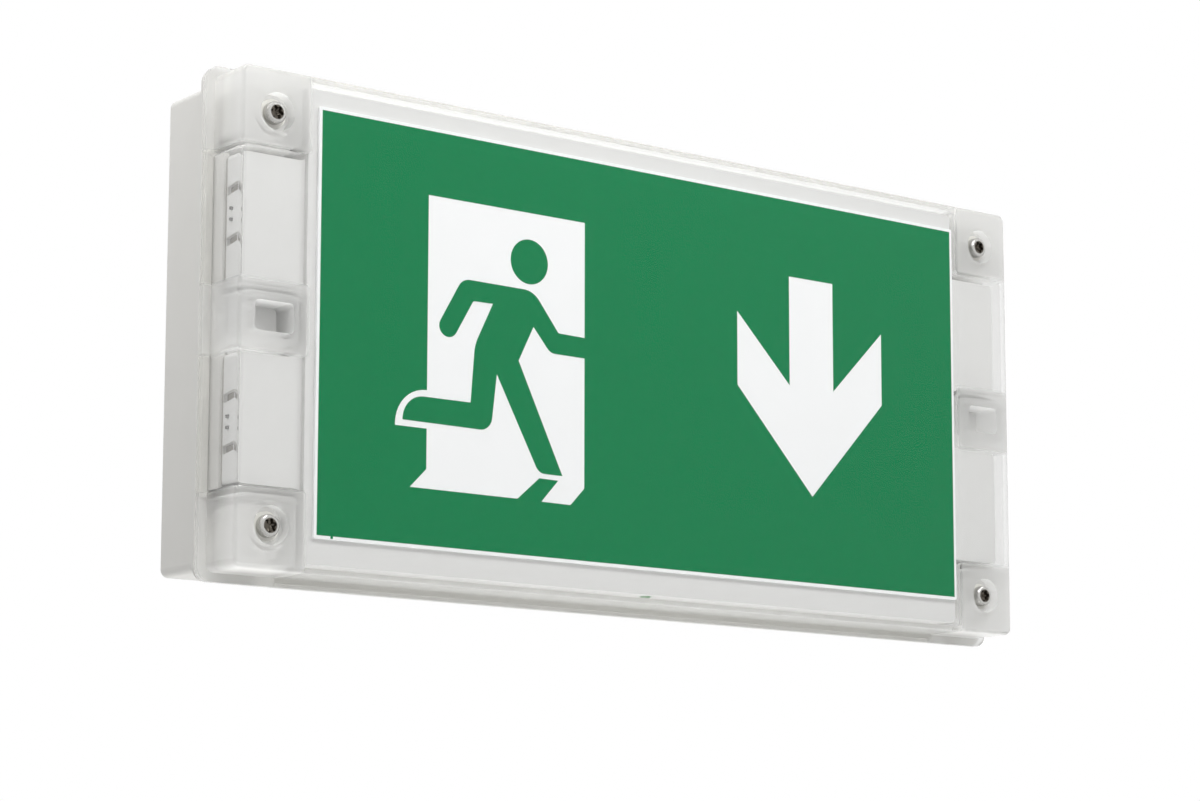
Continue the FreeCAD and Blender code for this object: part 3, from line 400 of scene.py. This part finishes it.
def softened(node, name, edge, finish):
    """A copy of a part whose sharp edges are rounded as a mould leaves them; it stands for the part."""
    mesh = tidy(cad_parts[node].data.copy(), SAME_POINT)
    holder = bpy.data.objects.new(name, mesh)
    bpy.context.scene.collection.objects.link(holder)
    bevel = holder.modifiers.new("edges", "BEVEL")
    bevel.width, bevel.segments, bevel.limit_method = edge, 2, "ANGLE"
    bevel.angle_limit = math.radians(40)
    rounded_mesh = bpy.data.meshes.new_from_object(
        holder.evaluated_get(bpy.context.evaluated_depsgraph_get()))
    bpy.data.objects.remove(holder)
    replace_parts(piece(name, rounded_mesh, finish), node)


class EXITLIGHT_OT_cover(bpy.types.Operator):
    """Finish the clear cover with soft edges, its seal, the screw washers and the cable grommets"""
    bl_idname = "exit_light.cover"
    bl_label = "Clear cover"

    def execute(self, context):
        now = settings(context)
        plastic = clear_plastic(now.cover)
        dress("clear_cover", plastic)
        softened("clear_cover", "cover_moulding", now.cover.edge, plastic)
        grain = now.plastic.grain
        seal = moulded("seal_silicone", now.plastic.seal, grain, 0.01 * MM, gloss=(0.5, 0.65))
        dress("cover_gasket", seal)
        dress("screw_washers", seal)
        dress("entry_grommets", moulded("grommet_rubber", now.plastic.rubber, grain, 0.01 * MM,
                                        gloss=(0.55, 0.7)))
        return {"FINISHED"}


# ---------------------------------------------------------------------------------------------------
# White mouldings, lamps and what lies inside the housing


def edged(finish, plastic):
    """The carrier's finish with painted shade in the joint at its back edge, which is dusty as well."""
    made = finish.copy()
    made.name = "carrier_white_edged"
    tree = made.node_tree
    shader = next(node for node in tree.nodes if node.type == "BSDF_PRINCIPLED")
    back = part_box("sign_carrier")[1].y
    depth = add(tree, "ShaderNodeSeparateXYZ", {"Vector": place(tree)}).outputs["Y"]
    # Painted shade: the last millimetre before the carrier's back edge turns darker, where the joint
    # lies in shadow.
    joint_dust_and_shade = ranged(tree, depth, back - 1.0 * MM, back - 0.6 * MM, 0.0, 1.0)
    body = shader.inputs["Base Color"].links[0].from_socket
    tree.links.new(blended(tree, joint_dust_and_shade, body, plastic.joint_dust_and_shade), shader.inputs["Base Color"])
    return made


class EXITLIGHT_OT_mouldings(bpy.types.Operator):
    """Finish the housing, the sign carrier, the lamp tray, the opal sheet and the battery's cradle"""
    bl_idname = "exit_light.mouldings"
    bl_label = "White mouldings"

    def execute(self, context):
        plastic = settings(context).plastic
        grain, relief = plastic.grain, plastic.relief
        dress("back_housing", moulded("housing_white", plastic.housing, grain, relief))
        carrier = moulded("carrier_white", plastic.carrier, grain, relief, gloss=(0.3, 0.42))
        dress("sign_carrier", edged(carrier, plastic))
        dress("lamp_tray", moulded("tray_white", plastic.carrier, grain, relief, gloss=(0.28, 0.4)))
        opal = moulded("opal_sheet", plastic.opal, 2 * grain, relief / 4, gloss=(0.3, 0.36),
                       unevenness=0.01)
        dress("opal_diffuser", opal)
        dress("battery_cradle", carrier)
        return {"FINISHED"}


def clip_pair_mesh(clips, shell):
    """Two bowed spring strips, one above the other, as they lie behind the carrier's slanted slots."""
    long, half = shell[1].y - shell[0].y - 2 * clips.wall, clips.wide / 2
    steps, edge_gap = 8, 0.4 * MM
    made = bmesh.new()
    for side in (-1, 1):
        rings = []
        for step in range(steps + 1):
            way = step / steps
            along = -edge_gap - way * long
            bow = clips.bow * math.sin(math.pi * way)
            middle = side * clips.apart / 2 + (way - 0.5) * clips.slant
            rings.append([(x * clips.thick / 2 + bow, along, middle + up * half)
                          for x, up in ((-1, -1), (1, -1), (1, 1), (-1, 1))])
        turned_rings(made, rings, None)
        made.verts.ensure_lookup_table()
        start = len(made.verts) - 4 * len(rings)
        made.faces.new(made.verts[start:start + 4])
        made.faces.new(reversed(made.verts[-4:]))
    bevelled = [edge for edge in made.edges if edge.is_manifold and edge.calc_face_angle() > 1.0]
    bmesh.ops.bevel(made, geom=bevelled, offset=0.08 * MM, segments=1, affect="EDGES")
    mesh = bpy.data.meshes.new("lamp_clips")
    made.to_mesh(mesh)
    made.free()
    return tidy(mesh, SAME_POINT)


class EXITLIGHT_OT_lamps(bpy.types.Operator):
    """Finish the lamp boards, chips, pins and status light, and make the strips beside the boards"""
    bl_idname = "exit_light.lamps"
    bl_label = "Lamps and status light"

    def execute(self, context):
        grain = settings(context).plastic.grain
        board = moulded("lamp_board_white", srgb(232, 233, 230), grain, 0.004 * MM,
                        gloss=(0.2, 0.34))
        for place_name in ("upper_left", "upper_right", "lower_left", "lower_right"):
            dress(f"lamp_board_{place_name}", board)
        dress("lamp_chips", moulded("lamp_phosphor", srgb(238, 214, 96), grain, 0.004 * MM,
                                    gloss=(0.18, 0.3)))
        # Painted shade: the pins get a near-black colour so that they read as dark dots, where tin
        # would shine.
        dress("lamp_pins", metal("pin_painted_dark", srgb(34, 32, 30), 0.5))
        clips = settings(context).clips
        bronze = metal("clip_bronze", clips.bronze, 0.55, grime=0.35)
        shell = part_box("sign_carrier")
        mesh = at_corners("lamp_clips", clip_pair_mesh(clips, shell), bronze, {
            "Spacing X": 2 * (shell[1].x - clips.wall - clips.thick),
            "Spacing Z": 2 * clips.level,
            "Seat": shell[1].y,
        })
        piece("lamp_clips", mesh, bronze)
        dress("status_light", moulded("status_green", srgb(96, 190, 104), grain, 0.002 * MM,
                                      gloss=(0.08, 0.16),
                                      sockets={"Transmission Weight": 0.5, "IOR": 1.5}))
        dress("status_board", moulded("board_green", srgb(26, 92, 58), grain, 0.006 * MM,
                                      gloss=(0.25, 0.4)))
        return {"FINISHED"}


class EXITLIGHT_OT_inner_parts(bpy.types.Operator):
    """Finish the driver board, the battery and the small parts inside the housing"""
    bl_idname = "exit_light.inner_parts"
    bl_label = "Inner parts"

    def execute(self, context):
        grain = settings(context).plastic.grain
        finishes = {
            moulded("driver_board_green", srgb(24, 88, 54), grain, 0.006 * MM, gloss=(0.25, 0.4)): (
                "driver_board",),
            moulded("part_black", srgb(36, 36, 38), grain, 0.01 * MM, gloss=(0.4, 0.55)): (
                "change_over_relay", "control_chips", "mains_fuse"),
            moulded("terminal_grey", srgb(150, 152, 152), grain, 0.01 * MM): (
                "mains_terminals", "battery_socket", "lamp_socket"),
            moulded("film_yellow", srgb(206, 170, 44), grain, 0.004 * MM, gloss=(0.15, 0.3)): (
                "film_capacitor",),
            moulded("winding_tape", srgb(214, 182, 70), 2 * grain, 0.02 * MM, gloss=(0.3, 0.42)): (
                "transformer_winding", "mains_choke"),
            moulded("ferrite_grey", srgb(58, 58, 60), grain, 0.03 * MM, gloss=(0.6, 0.75)): (
                "transformer_core",),
            moulded("can_sleeve", srgb(32, 44, 82), grain, 0.004 * MM, gloss=(0.2, 0.3)): (
                "smoothing_capacitors",),
            moulded("cell_sleeve", srgb(60, 110, 158), 2 * grain, 0.01 * MM, gloss=(0.25, 0.35)): (
                "battery_pack",),
            moulded("strap_black", srgb(28, 28, 29), grain, 0.02 * MM, gloss=(0.5, 0.65)): (
                "battery_strap",),
            metal("sink_aluminium", srgb(196, 198, 200), 0.35): ("heat_sink",),
            metal("insert_brass", srgb(206, 170, 96), 0.3): ("threaded_inserts",),
            metal("small_screw_zinc", srgb(186, 188, 190), 0.28): (
                "board_screws", "tray_screws", "terminal_screws"),
        }
        for finish, nodes in finishes.items():
            for node in nodes:
                dress(node, finish)
        return {"FINISHED"}


# ---------------------------------------------------------------------------------------------------
# The print on the sign


def rounded(corners, steps=10):
    """A closed line through corners (x, z, radius), each rounded by an arc of its radius."""
    line = []
    for index, (x, z, radius) in enumerate(corners):
        here = Vector((x, z))
        if radius == 0:
            line.append(here)
            continue
        back = (Vector(corners[index - 1][:2]) - here).normalized()
        ahead = (Vector(corners[(index + 1) % len(corners)][:2]) - here).normalized()
        half = back.angle(ahead) / 2
        middle = here + (back + ahead).normalized() * (radius / math.sin(half))
        start = here + back * (radius / math.tan(half)) - middle
        end = here + ahead * (radius / math.tan(half)) - middle
        sweep = start.angle_signed(end)
        for step in range(steps + 1):
            turned = start.copy()
            turned.rotate(Matrix.Rotation(-sweep * step / steps, 2))
            line.append(middle + turned)
    return line


def ring(x, z, radius, steps=64):
    """A closed round line."""
    angles = (2 * math.pi * step / steps for step in range(steps))
    return [Vector((x + radius * math.cos(angle), z + radius * math.sin(angle))) for angle in angles]


# Millimetres to the right and down from the green field's upper left corner, and each corner's radius.
DOORWAY_TOP = [(44.9, 23.7, 0), (114.6, 23.7, 0)]
REACHING_ARM = [(114.6, 67.4, 0), (102.6, 67.1, 1.0)]
BACK_AND_REAR_ARM = [(91.2, 52.7, 9.0), (59.8, 52.4, 5.5), (48.5, 72.0, 3.9), (55.3, 76.0, 3.9),
                     (64.6, 60.0, 1.2), (73.2, 59.9, 0)]
REAR_LEG = [(65.4, 75.9, 16.0), (63.7, 97.3, 0), (34.7, 97.4, 8.8), (34.7, 106.5, 0),
            (72.6, 106.7, 5.2)]
FRONT_LEG = [(75.1, 85.6, 0), (94.0, 120.1, 4.6), (104.6, 120.1, 0), (84.7, 79.5, 0)]
UNDER_ARM = [(91.3, 66.1, 0), (99.0, 75.0, 4.6), (114.6, 75.1, 0)]
DOORWAY_FOOT = [(114.6, 123.8, 0), (108.3, 130.5, 0), (95.2, 130.4, 0), (102.7, 122.0, 0),
                (94.2, 121.9, 0), (84.5, 130.3, 0), (38.0, 130.3, 0), (44.9, 123.3, 0)]
ROUND_THE_FOOT = [(44.9, 108.8, 0), (31.5, 108.8, 0), (31.5, 94.9, 13.2), (44.9, 94.9, 0)]
RUNNER_HEAD = (89.3, 42.1, 8.35)
ARROW = [(214.1, 30.4, 0), (236.7, 30.4, 0), (236.7, 73.7, 0), (262.3, 47.5, 0), (262.3, 76.5, 0),
         (225.4, 116.7, 0), (187.8, 76.5, 0), (187.8, 47.5, 0), (214.1, 73.7, 0)]


def print_lines(sign):
    """The closed lines of the print: the field with its tick, the doorway, the head and the arrow."""
    width, height = sign.width / MM, sign.height / MM
    tick_left, tick_right, tick_foot = 5.6, 6.6, height + 0.9
    tick = [(tick_right, height, 0), (tick_right, tick_foot, 0), (tick_left, tick_foot, 0),
            (tick_left, height, 0)]
    doorway = (DOORWAY_TOP + REACHING_ARM + BACK_AND_REAR_ARM + REAR_LEG + FRONT_LEG + UNDER_ARM
               + DOORWAY_FOOT + ROUND_THE_FOOT)
    return [
        rounded([(0, 0, 0), (width, 0, 0), (width, height, 0), *tick, (0, height, 0)]),
        rounded(doorway),
        ring(*RUNNER_HEAD),
        rounded(ARROW),
    ]


def flat_field(name, lines, thickness):
    """A mesh of the area between closed lines given in millimetres, filled where their count is odd."""
    curve = bpy.data.curves.new(name, "CURVE")
    curve.dimensions, curve.fill_mode = "2D", "BOTH"
    curve.extrude = thickness / MM / 2
    for line in lines:
        spline = curve.splines.new("POLY")
        spline.points.add(len(line) - 1)
        for point, (x, z) in zip(spline.points, line):
            point.co = (x, -z, 0, 1)
        spline.use_cyclic_u = True
    holder = bpy.data.objects.new(name, curve)
    bpy.context.scene.collection.objects.link(holder)
    mesh = bpy.data.meshes.new_from_object(
        holder.evaluated_get(bpy.context.evaluated_depsgraph_get()))
    bpy.data.objects.remove(holder)
    bpy.data.curves.remove(curve)
    return mesh


def tidy(mesh, nearer=0.01 * MM):
    """Merges doubled points and turns the faces outwards."""
    made = bmesh.new()
    made.from_mesh(mesh)
    bmesh.ops.remove_doubles(made, verts=made.verts, dist=nearer)
    bmesh.ops.recalc_face_normals(made, faces=made.faces)
    made.to_mesh(mesh)
    made.free()
    return mesh


def piece(name, mesh, finish):
    """Shows a mesh as a piece of the light, on its body and with its finish."""
    mesh.name = name
    mesh.materials.clear()
    mesh.materials.append(finish)
    made = bpy.data.objects.new(name, mesh)
    bpy.context.scene.collection.objects.link(made)
    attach(made, BODY)
    return made


def printed(name, tint, gloss):
    """A screen-printed film: even ink with hardly any texture, a little lit from behind."""
    return moulded(name, tint, 0.25 * MM, 0.002 * MM, gloss=gloss, unevenness=0.03,
                   sockets={"Specular IOR Level": 0.05, "Emission Color": opaque(tint),
                            "Emission Strength": 0.08})


class EXITLIGHT_OT_sign_print(bpy.types.Operator):
    """Print the green field with the runner, the doorway and the arrow on the sign plate"""
    bl_idname = "exit_light.sign_print"
    bl_label = "Sign print"

    def execute(self, context):
        sign = settings(context).sign
        low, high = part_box("sign_plate")
        dress("sign_plate", printed("sign_white", sign.white, (0.3, 0.4)))
        mesh = flat_field("sign_print", print_lines(sign), sign.film)
        left = (low.x + high.x - sign.width) / 2
        top = (low.z + high.z + sign.height) / 2
        upright = Matrix.Rotation(math.pi / 2, 4, "X") @ Matrix.Scale(MM, 4)
        mesh.transform(Matrix.Translation((left, low.y - sign.film / 2, top)) @ upright)
        piece("sign_print", tidy(mesh), printed("print_green", sign.green, (0.28, 0.36)))
        return {"FINISHED"}


# ---------------------------------------------------------------------------------------------------
# The cover screws


def turned_rings(mesh, rings, closed_end):
    """Faces between rings of points that all have as many points, and a closing point at the last."""
    loops = [[mesh.verts.new(point) for point in points] for points in rings]
    count = len(loops[0])
    for near, far in zip(loops, loops[1:]):
        for index in range(count):
            after = (index + 1) % count
            mesh.faces.new((near[index], near[after], far[after], far[index]))
    if closed_end is not None:
        tip = mesh.verts.new(closed_end)
        for index in range(count):
            mesh.faces.new((loops[-1][index], loops[-1][(index + 1) % count], tip))


def star_screw_mesh(screw, reach):
    """A round-headed screw along -Z with a star socket, its head on Z = 0 and its tip at -reach."""
    steps = 48
    angles = [2 * math.pi * step / steps for step in range(steps)]

    def around(radii, level):
        """A ring with a radius for each angle."""
        return [(radius * math.cos(angle), radius * math.sin(angle), level)
                for radius, angle in zip(radii, angles)]

    def circle(radius, level):
        """A round ring."""
        return around([radius] * steps, level)

    def star(size, level):
        """A ring with six soft points."""
        return around([size * (0.82 + 0.18 * math.cos(6 * angle)) for angle in angles], level)

    def thread(level):
        """A ring of the thread, whose crest climbs one pitch in a turn."""
        depth = 0.61 * screw.pitch
        phases = ((level / screw.pitch - angle / (2 * math.pi)) % 1 for angle in angles)
        return around([screw.shank / 2 - depth * abs(2 * phase - 1) for phase in phases], level)

    head, top, lobe = screw.head / 2, screw.head_height, screw.socket / 2
    thread_rings = int(6 * (reach - 0.6 * MM) / screw.pitch)
    made = bmesh.new()
    turned_rings(made, [
        star(0.5 * lobe, top - screw.socket_depth - 0.15 * lobe),
        star(0.96 * lobe, top - screw.socket_depth),
        star(lobe, top - 0.1 * MM),
        star(lobe + 0.1 * MM, top),
        circle(0.84 * head, top - 0.05 * MM),
        circle(0.93 * head, top - 0.3 * MM),
        circle(0.98 * head, top - 0.8 * MM),
        circle(head, 0.4 * top),
        circle(head, 0.04 * MM),
        circle(head - 0.04 * MM, 0),
        circle(screw.shank / 2, 0),
        *(thread(-level * screw.pitch / 6) for level in range(1, thread_rings)),
        circle(0.35 * screw.shank, -reach + 0.3 * MM),
    ], (0, 0, -reach))
    made.verts.ensure_lookup_table()
    made.faces.new(reversed(made.verts[:steps]))
    mesh = bpy.data.meshes.new("cover_screw")
    made.to_mesh(mesh)
    made.free()
    return tidy(mesh, SAME_POINT)


def screw_steel(screw, place_x, place_z):
    """Bright steel with painted shade down in the star sockets, whose middles are that far out."""
    made, tree = material("screw_steel")
    where = place(tree)
    axes = add(tree, "ShaderNodeSeparateXYZ", {"Vector": where})
    across = less(tree, size_of(tree, axes.outputs["X"]), place_x)
    up = less(tree, size_of(tree, axes.outputs["Z"]), place_z)
    flat = add(tree, "ShaderNodeCombineXYZ", {"X": across, "Y": up})
    out = add(tree, "ShaderNodeVectorMath", {0: flat.outputs[0]}, operation="LENGTH").outputs["Value"]
    # Painted shade: within the socket's radius the steel takes the dark colour.
    unshaded = ranged(tree, out, 0.46 * screw.socket, 0.54 * screw.socket, 0.0, 1.0)
    marks = noise(tree, where, 0.15 * MM, 4.0)
    surface = add(tree, "ShaderNodeBsdfPrincipled", {
        "Base Color": blended(tree, unshaded, screw.socket_shade, screw.steel),
        "Metallic": 1.0,
        "Roughness": ranged(tree, marks, 0.3, 0.7, 0.16, 0.3),
        "Normal": bump(tree, marks, 0.004 * MM, 0.4),
    })
    return finished(made, tree, surface.outputs["BSDF"])


def corner_tree(model, finish):
    """Geometry nodes that set a model at each corner of an upright rectangle, as one plain mesh."""
    tree = bpy.data.node_groups.new(f"{model.name}_at_corners", "GeometryNodeTree")
    for name in ("Spacing X", "Spacing Z", "Seat", "Tip", "Spin"):
        tree.interface.new_socket(name, in_out="INPUT", socket_type="NodeSocketFloat")
    tree.interface.new_socket("Geometry", in_out="OUTPUT", socket_type="NodeSocketGeometry")
    sizes = add(tree, "NodeGroupInput").outputs
    corners = add(tree, "GeometryNodeMeshGrid", {
        "Size X": sizes["Spacing X"], "Size Y": sizes["Spacing Z"], "Vertices X": 2, "Vertices Y": 2})
    stand = add(tree, "ShaderNodeCombineXYZ", {"Y": sizes["Seat"]})
    upright = add(tree, "GeometryNodeTransform", {
        "Geometry": corners.outputs["Mesh"], "Translation": stand.outputs["Vector"],
        "Rotation": (math.pi / 2, 0.0, 0.0)})
    shown = add(tree, "GeometryNodeObjectInfo", {"Object": model})
    turn = add(tree, "FunctionNodeRandomValue", {2: 0.0, 3: sizes["Spin"], "Seed": 4},
               data_type="FLOAT")
    spin = add(tree, "ShaderNodeCombineXYZ", {"X": sizes["Tip"], "Y": turn.outputs[1]})
    placed = add(tree, "GeometryNodeInstanceOnPoints", {
        "Points": upright.outputs["Geometry"], "Instance": shown.outputs["Geometry"],
        "Rotation": spin.outputs["Vector"]})
    real = add(tree, "GeometryNodeRealizeInstances", {"Geometry": placed.outputs["Instances"]})
    dressed = add(tree, "GeometryNodeSetMaterial", {
        "Geometry": real.outputs["Geometry"], "Material": finish})
    add(tree, "NodeGroupOutput", {"Geometry": dressed.outputs["Geometry"]})
    return tree


def at_corners(name, mesh, finish, inputs):
    """The plain mesh of a model that is repeated at four corners, with the tree's inputs by name."""
    model = bpy.data.objects.new(name, mesh)
    bpy.context.scene.collection.objects.link(model)
    holder = bpy.data.objects.new(f"{name}_holder", bpy.data.meshes.new(f"{name}_holder"))
    bpy.context.scene.collection.objects.link(holder)
    modifier = holder.modifiers.new(name, "NODES")
    tree = modifier.node_group = corner_tree(model, finish)
    for item in tree.interface.items_tree:
        if item.in_out == "INPUT":
            modifier[item.identifier] = inputs.get(item.name, 0.0)
    result = bpy.data.meshes.new_from_object(
        holder.evaluated_get(bpy.context.evaluated_depsgraph_get()))
    bpy.data.objects.remove(holder)
    bpy.data.objects.remove(model)
    return result


class EXITLIGHT_OT_cover_screws(bpy.types.Operator):
    """Make the four star screws that hold the cover"""
    bl_idname = "exit_light.cover_screws"
    bl_label = "Cover screws"

    def execute(self, context):
        screw = settings(context).screw
        low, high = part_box("cover_screws")
        seat = low.y + screw.head_height
        steel = screw_steel(screw, high.x - screw.head / 2, high.z - screw.head / 2)
        mesh = at_corners("cover_screw", star_screw_mesh(screw, high.y - seat), steel, {
            "Spacing X": high.x - low.x - screw.head,
            "Spacing Z": high.z - low.z - screw.head,
            "Seat": seat,
            "Tip": math.pi / 2,
            "Spin": math.pi / 3,
        })
        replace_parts(piece("star_screws", mesh, steel), "cover_screws")
        return {"FINISHED"}


# ---------------------------------------------------------------------------------------------------
# Floor, room light and camera

WHITE = (1.0, 1.0, 1.0)


def white_to_the_eye(tree, lighting, colour_seen):
    """Mixes a lighting shader with one that only the camera, reflections and clear parts see."""
    paths = add(tree, "ShaderNodeLightPath").outputs
    seen = paths["Is Camera Ray"]
    for kind in ("Is Glossy Ray", "Is Transmission Ray"):
        seen = stronger(tree, seen, paths[kind])
    return add(tree, "ShaderNodeMixShader", {0: seen, 1: lighting, 2: colour_seen}).outputs[0]


def make_lamp(name, where, size, watts):
    """A round soft lamp at that place, which shines towards the light's middle."""
    lamp = bpy.data.lights.new(name, "AREA")
    lamp.shape, lamp.size, lamp.energy = "DISK", size, watts
    holder = bpy.data.objects.new(name, lamp)
    holder.location, holder.visible_camera = where, False
    holder.rotation_euler = (-Vector(where)).to_track_quat("-Z", "Y").to_euler()
    bpy.context.scene.collection.objects.link(holder)


def make_world(studio):
    """An even pale room that shows as plain white."""
    world = bpy.data.worlds.new("pale_room")
    bpy.context.scene.world = world
    world.use_nodes = True
    tree = world.node_tree
    tree.nodes.clear()
    room = add(tree, "ShaderNodeBackground", {"Color": opaque(WHITE), "Strength": studio.sky})
    white = add(tree, "ShaderNodeBackground", {"Color": opaque(WHITE), "Strength": 1.0})
    end = add(tree, "ShaderNodeOutputWorld")
    tree.links.new(white_to_the_eye(tree, room.outputs[0], white.outputs[0]), end.inputs["Surface"])


def floor_paint(studio):
    """Pale paint that keeps the light's shadow and runs out to plain white further off."""
    made = moulded("floor_paint", studio.floor, 4 * MM, 0.02 * MM, gloss=(0.8, 0.9),
                   unevenness=0.01)
    tree = made.node_tree
    end = next(node for node in tree.nodes if node.type == "OUTPUT_MATERIAL")
    painted = end.inputs["Surface"].links[0].from_socket
    white = add(tree, "ShaderNodeEmission", {"Color": opaque(WHITE), "Strength": 1.0})
    flat = add(tree, "ShaderNodeVectorMath", {0: place(tree), 1: (1.0, 1.0, 0.0)},
               operation="MULTIPLY")
    off = add(tree, "ShaderNodeVectorMath", {0: flat.outputs[0]}, operation="LENGTH").outputs["Value"]
    far = ranged(tree, off, studio.shadow, 3 * studio.shadow, 0.0, 1.0)
    open_floor = add(tree, "ShaderNodeMixShader", {0: far, 1: painted, 2: white.outputs[0]})
    tree.links.new(white_to_the_eye(tree, painted, open_floor.outputs[0]), end.inputs["Surface"])
    return made


def make_floor(studio):
    """A wide pale floor well below the light."""
    half = 12.0
    mesh = bpy.data.meshes.new("floor")
    corners = ((-half, -half), (half, -half), (half, half), (-half, half))
    mesh.from_pydata([(x, y, studio.floor_level) for x, y in corners], [], [(0, 1, 2, 3)])
    mesh.materials.append(floor_paint(studio))
    floor = bpy.data.objects.new("floor", mesh)
    bpy.context.scene.collection.objects.link(floor)


def make_camera(studio):
    """The camera, turned about the upright axis and then tipped up."""
    lens = bpy.data.cameras.new("camera")
    lens.lens, lens.sensor_width = studio.lens, 36.0
    lens.shift_x, lens.shift_y = studio.shift_x, studio.shift_y
    lens.clip_start, lens.clip_end = 0.05, 40.0
    camera = bpy.data.objects.new("camera", lens)
    camera.location = studio.eye
    ahead = Vector((math.sin(studio.turn) * math.cos(studio.rise),
                    math.cos(studio.turn) * math.cos(studio.rise), math.sin(studio.rise)))
    camera.rotation_euler = ahead.to_track_quat("-Z", "Y").to_euler()
    bpy.context.scene.collection.objects.link(camera)
    bpy.context.scene.camera = camera


class EXITLIGHT_OT_studio(bpy.types.Operator):
    """Make the floor, the soft lamps, the pale room and the camera"""
    bl_idname = "exit_light.studio"
    bl_label = "Studio"

    def execute(self, context):
        studio = settings(context).studio
        context.scene.view_settings.view_transform = "Standard"
        make_world(studio)
        make_floor(studio)
        make_camera(studio)
        make_lamp("key_lamp", (-0.12, -0.68, 0.68), 0.5, studio.key)
        make_lamp("fill_lamp", (0.8, -0.9, 1.0), 0.9, studio.fill)
        make_lamp("end_lamp", (-0.52, 0.02, 0.42), 0.22, studio.end)
        make_lamp("under_lamp", (0.0, 0.02, -0.42), 0.4, studio.under)
        return {"FINISHED"}


# ---------------------------------------------------------------------------------------------------
# The add-on

SETTINGS = (PlasticSettings, CoverSettings, SignSettings, ClipsSettings, ScrewSettings,
            StudioSettings)
OPERATORS = (
    EXITLIGHT_OT_studio,
    EXITLIGHT_OT_cover,
    EXITLIGHT_OT_mouldings,
    EXITLIGHT_OT_lamps,
    EXITLIGHT_OT_inner_parts,
    EXITLIGHT_OT_sign_print,
    EXITLIGHT_OT_cover_screws,
)


class EXITLIGHT_PT_panel(bpy.types.Panel):
    """Lists the steps that finish the exit light, and their settings"""
    bl_idname = "EXITLIGHT_PT_panel"
    bl_label = "Exit light"
    bl_space_type = "VIEW_3D"
    bl_region_type = "UI"
    bl_category = "Exit light"

    def draw(self, context):
        for operator in OPERATORS:
            self.layout.operator(operator.bl_idname)
        for group in SETTINGS:
            title = group.__name__.removesuffix("Settings")
            held = getattr(settings(context), title.lower())
            box = self.layout.box()
            box.label(text=title)
            for field in group.__annotations__:
                box.prop(held, field)


CLASSES = (*SETTINGS, ExitLightSettings, *OPERATORS, EXITLIGHT_PT_panel)


def register():
    for made in CLASSES:
        bpy.utils.register_class(made)
    bpy.types.Scene.exit_light = bpy.props.PointerProperty(type=ExitLightSettings, name="Exit light",
                                                           description="Sizes and colours of the light")


def unregister():
    del bpy.types.Scene.exit_light
    for made in reversed(CLASSES):
        bpy.utils.unregister_class(made)


def main():
    """Makes every piece in order."""
    register()
    for operator in OPERATORS:
        group, name = operator.bl_idname.split(".")
        getattr(getattr(bpy.ops, group), name)()


if __name__ == "__main__":
    main()
